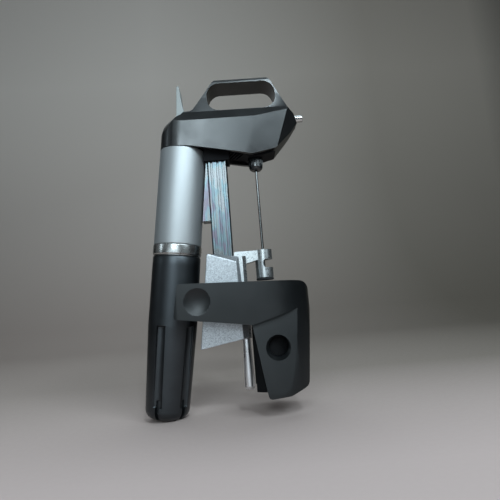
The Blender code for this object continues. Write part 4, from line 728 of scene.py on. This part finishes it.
# Rail and its end stop
# An aluminium extrusion with shallow grooves and a fin, brushed lengthways and clear anodised, so that it
# shows faint blue and violet streaks. A black end piece closes it below.
rail_finish = Finish("anodised_rail", Metallic=1.0)
brushed = rail_finish.noise(0.00022, 3.0, 0.6, rail_finish.spot(stretch=(1.0, 1.0, 0.012)))
streak = rail_finish.noise(0.0019, 2.0, 0.5, rail_finish.spot(stretch=(1.0, 1.0, 0.05)))
patch = rail_finish.noise(0.0110, 2.0, 0.5, rail_finish.spot(stretch=(1.4, 1.0, 0.8)))
tint = rail_finish.node("ShaderNodeValToRGB", {"stops": (
    (0.32, (0.098, 0.103, 0.110)), (0.44, (0.122, 0.128, 0.130)), (0.50, (0.100, 0.145, 0.158)),
    (0.57, (0.112, 0.096, 0.122)), (0.68, (0.160, 0.162, 0.160)))}, {0: streak * 0.42 + patch * 0.58})
rail_finish.wear(Base_Color=tint, Normal=rail_finish.relief(brushed, 0.000003),
                 Roughness=rail_finish.band(brushed * 0.5 + patch * 0.5, 0.3, 0.7, 0.20, 0.42))
dressed("guide_rail", rail_finish.material, "head", "rail", edge=0.00012, corner=30, slot="clear_anodised")
dressed("rail_foot", plate_finish, "head", "rail_end_stop", edge=0.0004, slot="matte_black")

# Clamp body
# A burnished die casting with the arm and the tube that guide the needle, and two faceted covers screwed
# to its sides, which are sprayed with a silver paint full of fine flakes. Black liners and bushes line it.
flake_paint = Finish("flake_silver", Metallic=0.82, Specular_IOR_Level=0.5)
shimmer = flake_paint.cells(0.00050) * 0.5 + flake_paint.cells(0.00030) * 0.5
flake_paint.wear(Base_Color=flake_paint.blend(shimmer, (0.23, 0.24, 0.25, 1), (0.56, 0.58, 0.61, 1)),
                 Roughness=flake_paint.band(shimmer, 0.2, 0.8, 0.50, 0.34),
                 Normal=flake_paint.relief(shimmer, 0.000020))
cast_silver = Finish("burnished_casting", Metallic=0.95)
pull = cast_silver.noise(0.0011, 3.0, 0.6, cast_silver.spot(stretch=(1.0, 1.0, 0.12)))
dimpling = cast_silver.noise(0.0016, 3.0, 0.6)
burnish = cast_silver.blend(pull * 0.6 + dimpling * 0.4, (0.34, 0.35, 0.35, 1), (0.64, 0.66, 0.67, 1))
cast_silver.wear(Base_Color=burnish, Roughness=cast_silver.band(dimpling, 0.3, 0.7, 0.24, 0.38),
                 Normal=cast_silver.relief(pull * 0.5 + dimpling * 0.5, 0.00004))
for name, material, node, edge in (("clamp_casting", cast_silver.material, "clamp_core", 0.0003),
                                   ("near_cover", flake_paint.material, "near_side_cover", 0.0004),
                                   ("far_cover", flake_paint.material, "far_side_cover", 0.0004)):
    dressed(name, material, "clamp_body", node, edge=edge, slot="sparkle_silver")
coat(plate_finish, "near_slide_liner", "far_slide_liner", "upper_guide_bush", "lower_guide_bush")

# Foot pad
# A soft rubber washer bonded under the guide tube, which seals on the mouth of the bottle.


def rubber_finish(name, colour, grain, shine=0.35):
    """Matt moulded rubber with a fine grain and a little bloom."""
    rubber = Finish(name, Specular_IOR_Level=shine)
    fine = rubber.noise(grain, 3.0, 0.7)
    bloom = rubber.noise(0.006, 3.0)
    paler = tuple(2.0 * value for value in colour)
    return rubber.wear(Base_Color=rubber.blend(bloom, (*colour, 1), (*paler, 1)),
                       Roughness=rubber.band(fine, 0.3, 0.7, 0.70, 0.90), Normal=rubber.relief(fine, 0.00002))


rubber_black = rubber_finish("pad_rubber", colour=(0.011, 0.011, 0.012), grain=0.00035)
washer_bore, washer_radius, washer_top = 0.0020, 0.0057, 0.0013
foot_corners = [(washer_bore, washer_top), (washer_radius, washer_top), (washer_radius, 0.0),
                (washer_bore, 0.0)]
fitted(spun("foot_washer", softened(foot_corners, 0.0004, 4, True), upright, 72, True), rubber_black,
       "clamp_body", "foot_pad", slot="rubber")
coat(rubber_black, "capsule_seal")

# Clamp rods
# Two ground and chromed steel rods pressed up into the casting. Each swells to a rounded end, and the
# clamps turn on them.
rod_chrome = Finish("rod_chrome", Metallic=1.0)
ground = rod_chrome.noise(0.00015, 2.0, 0.5, rod_chrome.spot(stretch=(0.03, 0.03, 1.0)))
film = rod_chrome.noise(0.006, 3.0)
rod_chrome.wear(Base_Color=rod_chrome.blend(film, (0.72, 0.73, 0.74, 1), (0.86, 0.87, 0.88, 1)),
                Roughness=rod_chrome.band(film, 0.3, 0.7, 0.26, 0.38),
                Normal=rod_chrome.relief(ground, 0.000002))
rod_radius, rod_top, swell_top, rod_foot = 0.0023, 0.0060, -0.0358, -0.0660
rod_corners = [(0, rod_top), (rod_radius, rod_top), (rod_radius, swell_top), (0.0033, -0.0640),
               (0.0026, -0.0655), (0.0014, rod_foot), (0, rod_foot)]
rod_across = 0.0070
rod_places = {side: Matrix.Translation((-0.0152, side * rod_across, 0)) for side in (-1, 1)}
for label, side in both_sides:
    fitted(spun(label + "_rod", softened(rod_corners, 0.0005, 4), rod_places[side], 48), rod_chrome.material,
           "clamp_body", label + "_clamp_rod", slot="bright_chrome")

# Clamps
# Two mirror-image mouldings, painted satin black and a little duller than the head. Each has a finger
# lever with a shallow dimple, a jaw with an eye and a rubber pad, and turns against a small coil spring.
clamp_paint = satin_black_finish("clamp_satin_black", dark=(0.0018, 0.0023, 0.0027),
                                 light=(0.0042, 0.0053, 0.0061), gloss=0.34, grain=0.0003, shine=0.46)
pad_rubber = rubber_finish("jaw_rubber", colour=(0.003, 0.003, 0.0033), grain=0.0005, shine=0.12)
jaw_outer, jaw_inner, jaw_end = 0.0275, 0.0183, radians(-22)
lever_outer, lever_inner, lever_back = 0.0270, 0.0233, -0.0570


def outer_line():
    """Plan of a clamp's outside: the straight lever with its rounded end, then the round of the jaw."""
    line = [(lever_back, -0.0256), (-0.0568, -0.0263), (-0.0564, -0.0266), (-0.0550, -0.0269),
            (-0.0544, -lever_outer)]
    start, bend, end = (Vector(spot) for spot in ((-0.0080, -lever_outer), (0.0062, -lever_outer),
                                                  (0.00941, -0.02584)))
    for step in range(13):
        share = step / 12
        line.append(tuple(start * (1 - share) ** 2 + bend * (2 * share * (1 - share)) + end * share ** 2))
    return line + arc_spots(jaw_outer, radians(-70), jaw_end, 32)[1:]


# The jaw's flat: its grid, the slanting ledge above it, and the leaning plane that it lies in.
flat_start, flat_stride, flat_columns, flat_rows = -0.0185, 0.00108, 33, 8
ledge_level, ledge_from, ledge_slope, flat_foot = -0.0204, 0.0120, 0.2857, -0.0720
flat_depth, flat_turn, flat_lean, flat_level = 0.0026, 0.043, 0.095, 0.0450
deepest, flat_easing, beyond_jaw = 0.0046, 0.3, 0.004


def flat_tool(side):
    """What is planed off the jaw: a flat that leans back at its top and runs out into the round."""
    shape = bmesh.new()
    columns = []
    for step in range(flat_columns + 1):
        along = flat_start + flat_stride * step
        ledge = ledge_level + (along - ledge_from) * ledge_slope
        column = []
        for row in range(flat_rows + 1):
            level = ledge + (flat_foot - ledge) * row / flat_rows
            plane = flat_depth + flat_turn * along + flat_lean * (level + flat_level)
            depth = plane - flat_easing * max(plane - deepest, 0.0)
            column.append((along, side * (jaw_outer - depth), level))
        columns.append(column)
    outside = side * (jaw_outer + beyond_jaw)
    inner = [[shape.verts.new(spot) for spot in column] for column in columns]
    outer = [[shape.verts.new((spot[0], outside, spot[2])) for spot in column] for column in columns]
    for grid in (inner, outer):
        for left, right in zip(grid, grid[1:]):
            skin(shape, left, right, False)
    for row in (0, flat_rows):
        skin(shape, [column[row] for column in inner], [column[row] for column in outer], False)
    for end in (0, flat_columns):
        skin(shape, inner[end], outer[end], False)
    bmesh.ops.recalc_face_normals(shape, faces=shape.faces)
    return settled("flat_tool", shape, 30)


knuckle_low, knuckle_high, knuckle_radius, rod_bore = -0.0235, -0.0105, 0.0044, 0.0025
web_half, web_overlap = 0.0034, 0.0004
dimple_along, dimple_level, dimple_radius, dimple_depth = -0.0427, -0.0110, 0.0082, 0.0015
eye_profile = [(0, 0.0092), (0.0160, 0.0092), (0.0084, 0.0004), (0.0081, 0.0), (0.0060, -0.0022),
               (0.0058, -0.0026), (0.0058, -0.0184), (0, -0.0184)]


def lever_and_jaw(name, side):
    """The lever and jaw as one moulding, with its knuckle, flat, dimple and eye."""
    sideways = Matrix(((1, 0, 0, 0), (0, 0, 1, 0), (0, 1, 0, 0), (0, 0, 0, 1)))
    outline = softened([(0.0260, -0.0029, 0.0085), (0.0255, -0.0200, 0.0040), (0.0198, -0.0640, 0.0042),
                        (0.0080, -0.0682, 0.0030), (-0.0048, -0.0692, 0.0026), (-0.0112, -0.0270, 0.0008),
                        (-0.0201, -0.0254, 0.0030), (-0.0570, -0.0202, 0.0020), (-0.0540, 0.0003, 0.0020)],
                       0.003, 8, True)
    piece = slab(name, outline, *sorted((side * 0.0040, side * 0.0320)), sideways)
    plan = outer_line() + arc_spots(jaw_inner, jaw_end, radians(-125), 40)
    plan += [(-0.0135, -lever_inner), (lever_back, -lever_inner)]
    plan = [(along, -side * across) for along, across in plan]
    combined(piece, slab("plan", plan, -0.12, 0.03, Matrix()), "INTERSECT")
    combined(piece, flat_tool(side), "DIFFERENCE")
    rod = rod_places[side]
    near, far = sorted((0.0, side * (lever_inner - rod_across + web_overlap)))
    web = [(-web_half, near), (web_half, near), (web_half, far), (-web_half, far)]
    combined(piece, slab("web", web, knuckle_low, knuckle_high, rod), "UNION")
    knuckle = slab("knuckle", circle_spots(knuckle_radius, 48), knuckle_low, knuckle_high, rod)
    combined(piece, knuckle, "UNION")
    combined(piece, slab("bore", circle_spots(rod_bore, 48), -0.05, 0.0, rod), "DIFFERENCE")
    press = bmesh.new()
    ball = (dimple_radius ** 2 + dimple_depth ** 2) / (2 * dimple_depth)
    keep = Matrix.Translation((dimple_along, side * (lever_outer - dimple_depth + ball), dimple_level))
    bmesh.ops.create_uvsphere(press, u_segments=128, v_segments=96, radius=ball, matrix=keep)
    combined(piece, settled("press", press, 30), "DIFFERENCE")
    seat = Matrix.Translation((0.0033, side * 0.02515, -0.0403)) @ Matrix.Rotation(-side * pi / 2, 4, "X")
    combined(piece, spun("eye", eye_profile, seat, 96), "DIFFERENCE")
    merged = bmesh.new()
    merged.from_mesh(piece.data)
    bmesh.ops.remove_doubles(merged, verts=merged.verts, dist=0.000003)
    bmesh.ops.dissolve_limit(merged, angle_limit=radians(0.2), verts=merged.verts, edges=merged.edges)
    bpy.data.objects.remove(piece)
    return round_edges(settled(name, merged, 30), 0.00045, 30)


for label, side in both_sides:
    body = label + "_clamp"
    fitted(lever_and_jaw(label + "_lever_and_jaw", side), clamp_paint, body, label + "_clamp",
           slot="satin_black")
    dressed(label + "_grip_pad", pad_rubber, body, label + "_jaw_pad", edge=0.0003, corner=40, slot="rubber")
    coat(inner_steel, label + "_clamp_spring")

# Studio
# Pale paper that sweeps up into a grey-brown wall, with painted shading: the wall is painted darker at its foot
# and to the right and lighter higher up, and painted shade darkens the paper towards its sides. Six soft boxes
# round the front, two high behind, and the camera at the photograph's angle.
scene = bpy.context.scene
scene.view_settings.view_transform = "Standard"
floor_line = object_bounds()[0][2] - 0.0002
sweep_shape = bmesh.new()
bend_start, sweep_bend, sweep_half = 0.5, 0.5, 2.4
wall_back = bend_start + sweep_bend
sweep_profile = [(-2.2, 0.0), (-1.0, 0.0), (-0.3, 0.0), (0.0, 0.0), (bend_start, 0.0)]
sweep_profile += [(bend_start + sweep_bend * sin(radians(angle)), sweep_bend * (1 - cos(radians(angle))))
                  for angle in range(6, 91, 6)]
sweep_profile += [(wall_back, 1.2), (wall_back, 2.4)]
sweep_lines = [[sweep_shape.verts.new((across, along, floor_line + up)) for across in (-sweep_half, sweep_half)]
               for along, up in sweep_profile]
for first, second in zip(sweep_lines, sweep_lines[1:]):
    skin(sweep_shape, first, second, False)
paper = Finish("studio_paper", Specular_IOR_Level=0.25)
place = paper.node("ShaderNodeTexCoord", output="Object")
across, along, up = (paper.node("ShaderNodeSeparateXYZ", {}, {0: place}, axis) for axis in "XYZ")
# Painted shading on the wall: it is painted darker at its foot and towards the right, and lighter higher up.
wall = paper.band(along, -0.10, 0.14)
painted_falloff = paper.band(across, -0.25, 0.45)
painted_rise = paper.band(up, -0.04, 0.7)
left_wall_painted_shading = paper.blend(painted_rise, (0.36, 0.295, 0.265, 1), (0.88, 0.78, 0.71, 1))
right_wall_painted_shading = paper.blend(painted_rise, (0.165, 0.140, 0.115, 1), (0.50, 0.43, 0.37, 1))
wall_painted_shading = paper.blend(painted_falloff, left_wall_painted_shading, right_wall_painted_shading)
fibre = paper.noise(0.003, 3.0)
pale = paper.blend(wall, (0.53, 0.425, 0.40, 1), wall_painted_shading)
# Painted shade: the paper is darkened to near black towards its sides.
aside = paper.node("ShaderNodeMath", {"operation": "ABSOLUTE"}, {0: across}) - along * 0.6
painted_side_shade = paper.band(aside, 0.20, 0.46)
paper.wear(Base_Color=paper.blend(painted_side_shade, pale, (0.045, 0.043, 0.040, 1)),
           Roughness=paper.band(fibre, 0.3, 0.7, 0.7, 0.85))
backdrop = settled("studio_sweep", sweep_shape, 60)
backdrop.data.materials.append(paper.material)

scene.world = bpy.data.worlds.new("studio_air")
scene.world.use_nodes = True
air = scene.world.node_tree
aim = air.nodes.new("ShaderNodeTexCoord")
heights = air.nodes.new("ShaderNodeSeparateXYZ")
air.links.new(aim.outputs["Generated"], heights.inputs[0])
dusk = air.nodes.new("ShaderNodeValToRGB")
for element, (height, glow) in zip(dusk.color_ramp.elements, ((0.0, 0.012), (0.18, 0.10))):
    element.position = height
    element.color = (0.88 * glow, 0.95 * glow, glow, 1.0)
air.links.new(heights.outputs[2], dusk.inputs[0])
air.links.new(dusk.outputs[0], air.nodes["Background"].inputs["Color"])

middle = Vector((-0.02, 0.0, 0.06))
cool = (0.76, 0.92, 1.0)


def soft_box(name, azimuth, elevation, away, width, height, power):
    """A flat lamp facing the opener, placed by its angle from the front towards +X and its angle up."""
    lamp = bpy.data.lights.new(name, "AREA")
    lamp.shape = "RECTANGLE"
    lamp.size = width
    lamp.size_y = height
    lamp.energy = power
    lamp.color = cool
    flat = cos(radians(elevation)) * away
    offset = Vector((sin(radians(azimuth)) * flat, -cos(radians(azimuth)) * flat,
                     sin(radians(elevation)) * away))
    stand = bpy.data.objects.new(name, lamp)
    stand.location = middle + offset
    stand.rotation_euler = (-offset).to_track_quat("-Z", "Y").to_euler()
    stand.visible_camera = False
    scene.collection.objects.link(stand)


soft_box("key_box", -8, 21, 1.0, 0.34, 0.40, 4.1)
soft_box("key_spot", 14, 40, 1.0, 0.09, 0.09, 2.8)
soft_box("left_strip", -74, 17, 1.1, 0.14, 0.30, 0.45)
soft_box("right_box", 36, 31, 1.0, 0.44, 0.34, 4.6)
soft_box("right_panel", 50, 15, 1.2, 0.45, 0.20, 0.75)
soft_box("front_panel", -12, 2.0, 1.3, 1.3, 0.30, 1.55)
soft_box("back_left_box", -140, 62, 0.75, 0.50, 0.40, 1.3)
soft_box("back_right_box", 140, 62, 0.75, 0.50, 0.40, 1.3)

photo_width, focus, film = 500, 433.089, 36.0
lens = bpy.data.cameras.new("camera")
lens.sensor_fit = "HORIZONTAL"
lens.sensor_width = film
lens.lens = focus / photo_width * film
lens.shift_y = -0.04
lens.clip_start = 0.01
lens.clip_end = 20.0
camera = bpy.data.objects.new("camera", lens)
pitch, roll, yaw = radians(9.549), radians(-4.6), radians(1.709)
forward = Vector((sin(yaw) * cos(pitch), cos(yaw) * cos(pitch), sin(pitch)))
level_right = Vector((cos(yaw), -sin(yaw), 0.0))
level_up = level_right.cross(forward)
right = cos(roll) * level_right + sin(roll) * level_up
up = -sin(roll) * level_right + cos(roll) * level_up
turned_about = Matrix((right, up, -forward)).transposed().to_4x4()
camera.matrix_world = Matrix.Translation((-0.015907, -0.284858, -0.01411)) @ turned_about
scene.collection.objects.link(camera)
scene.camera = camera
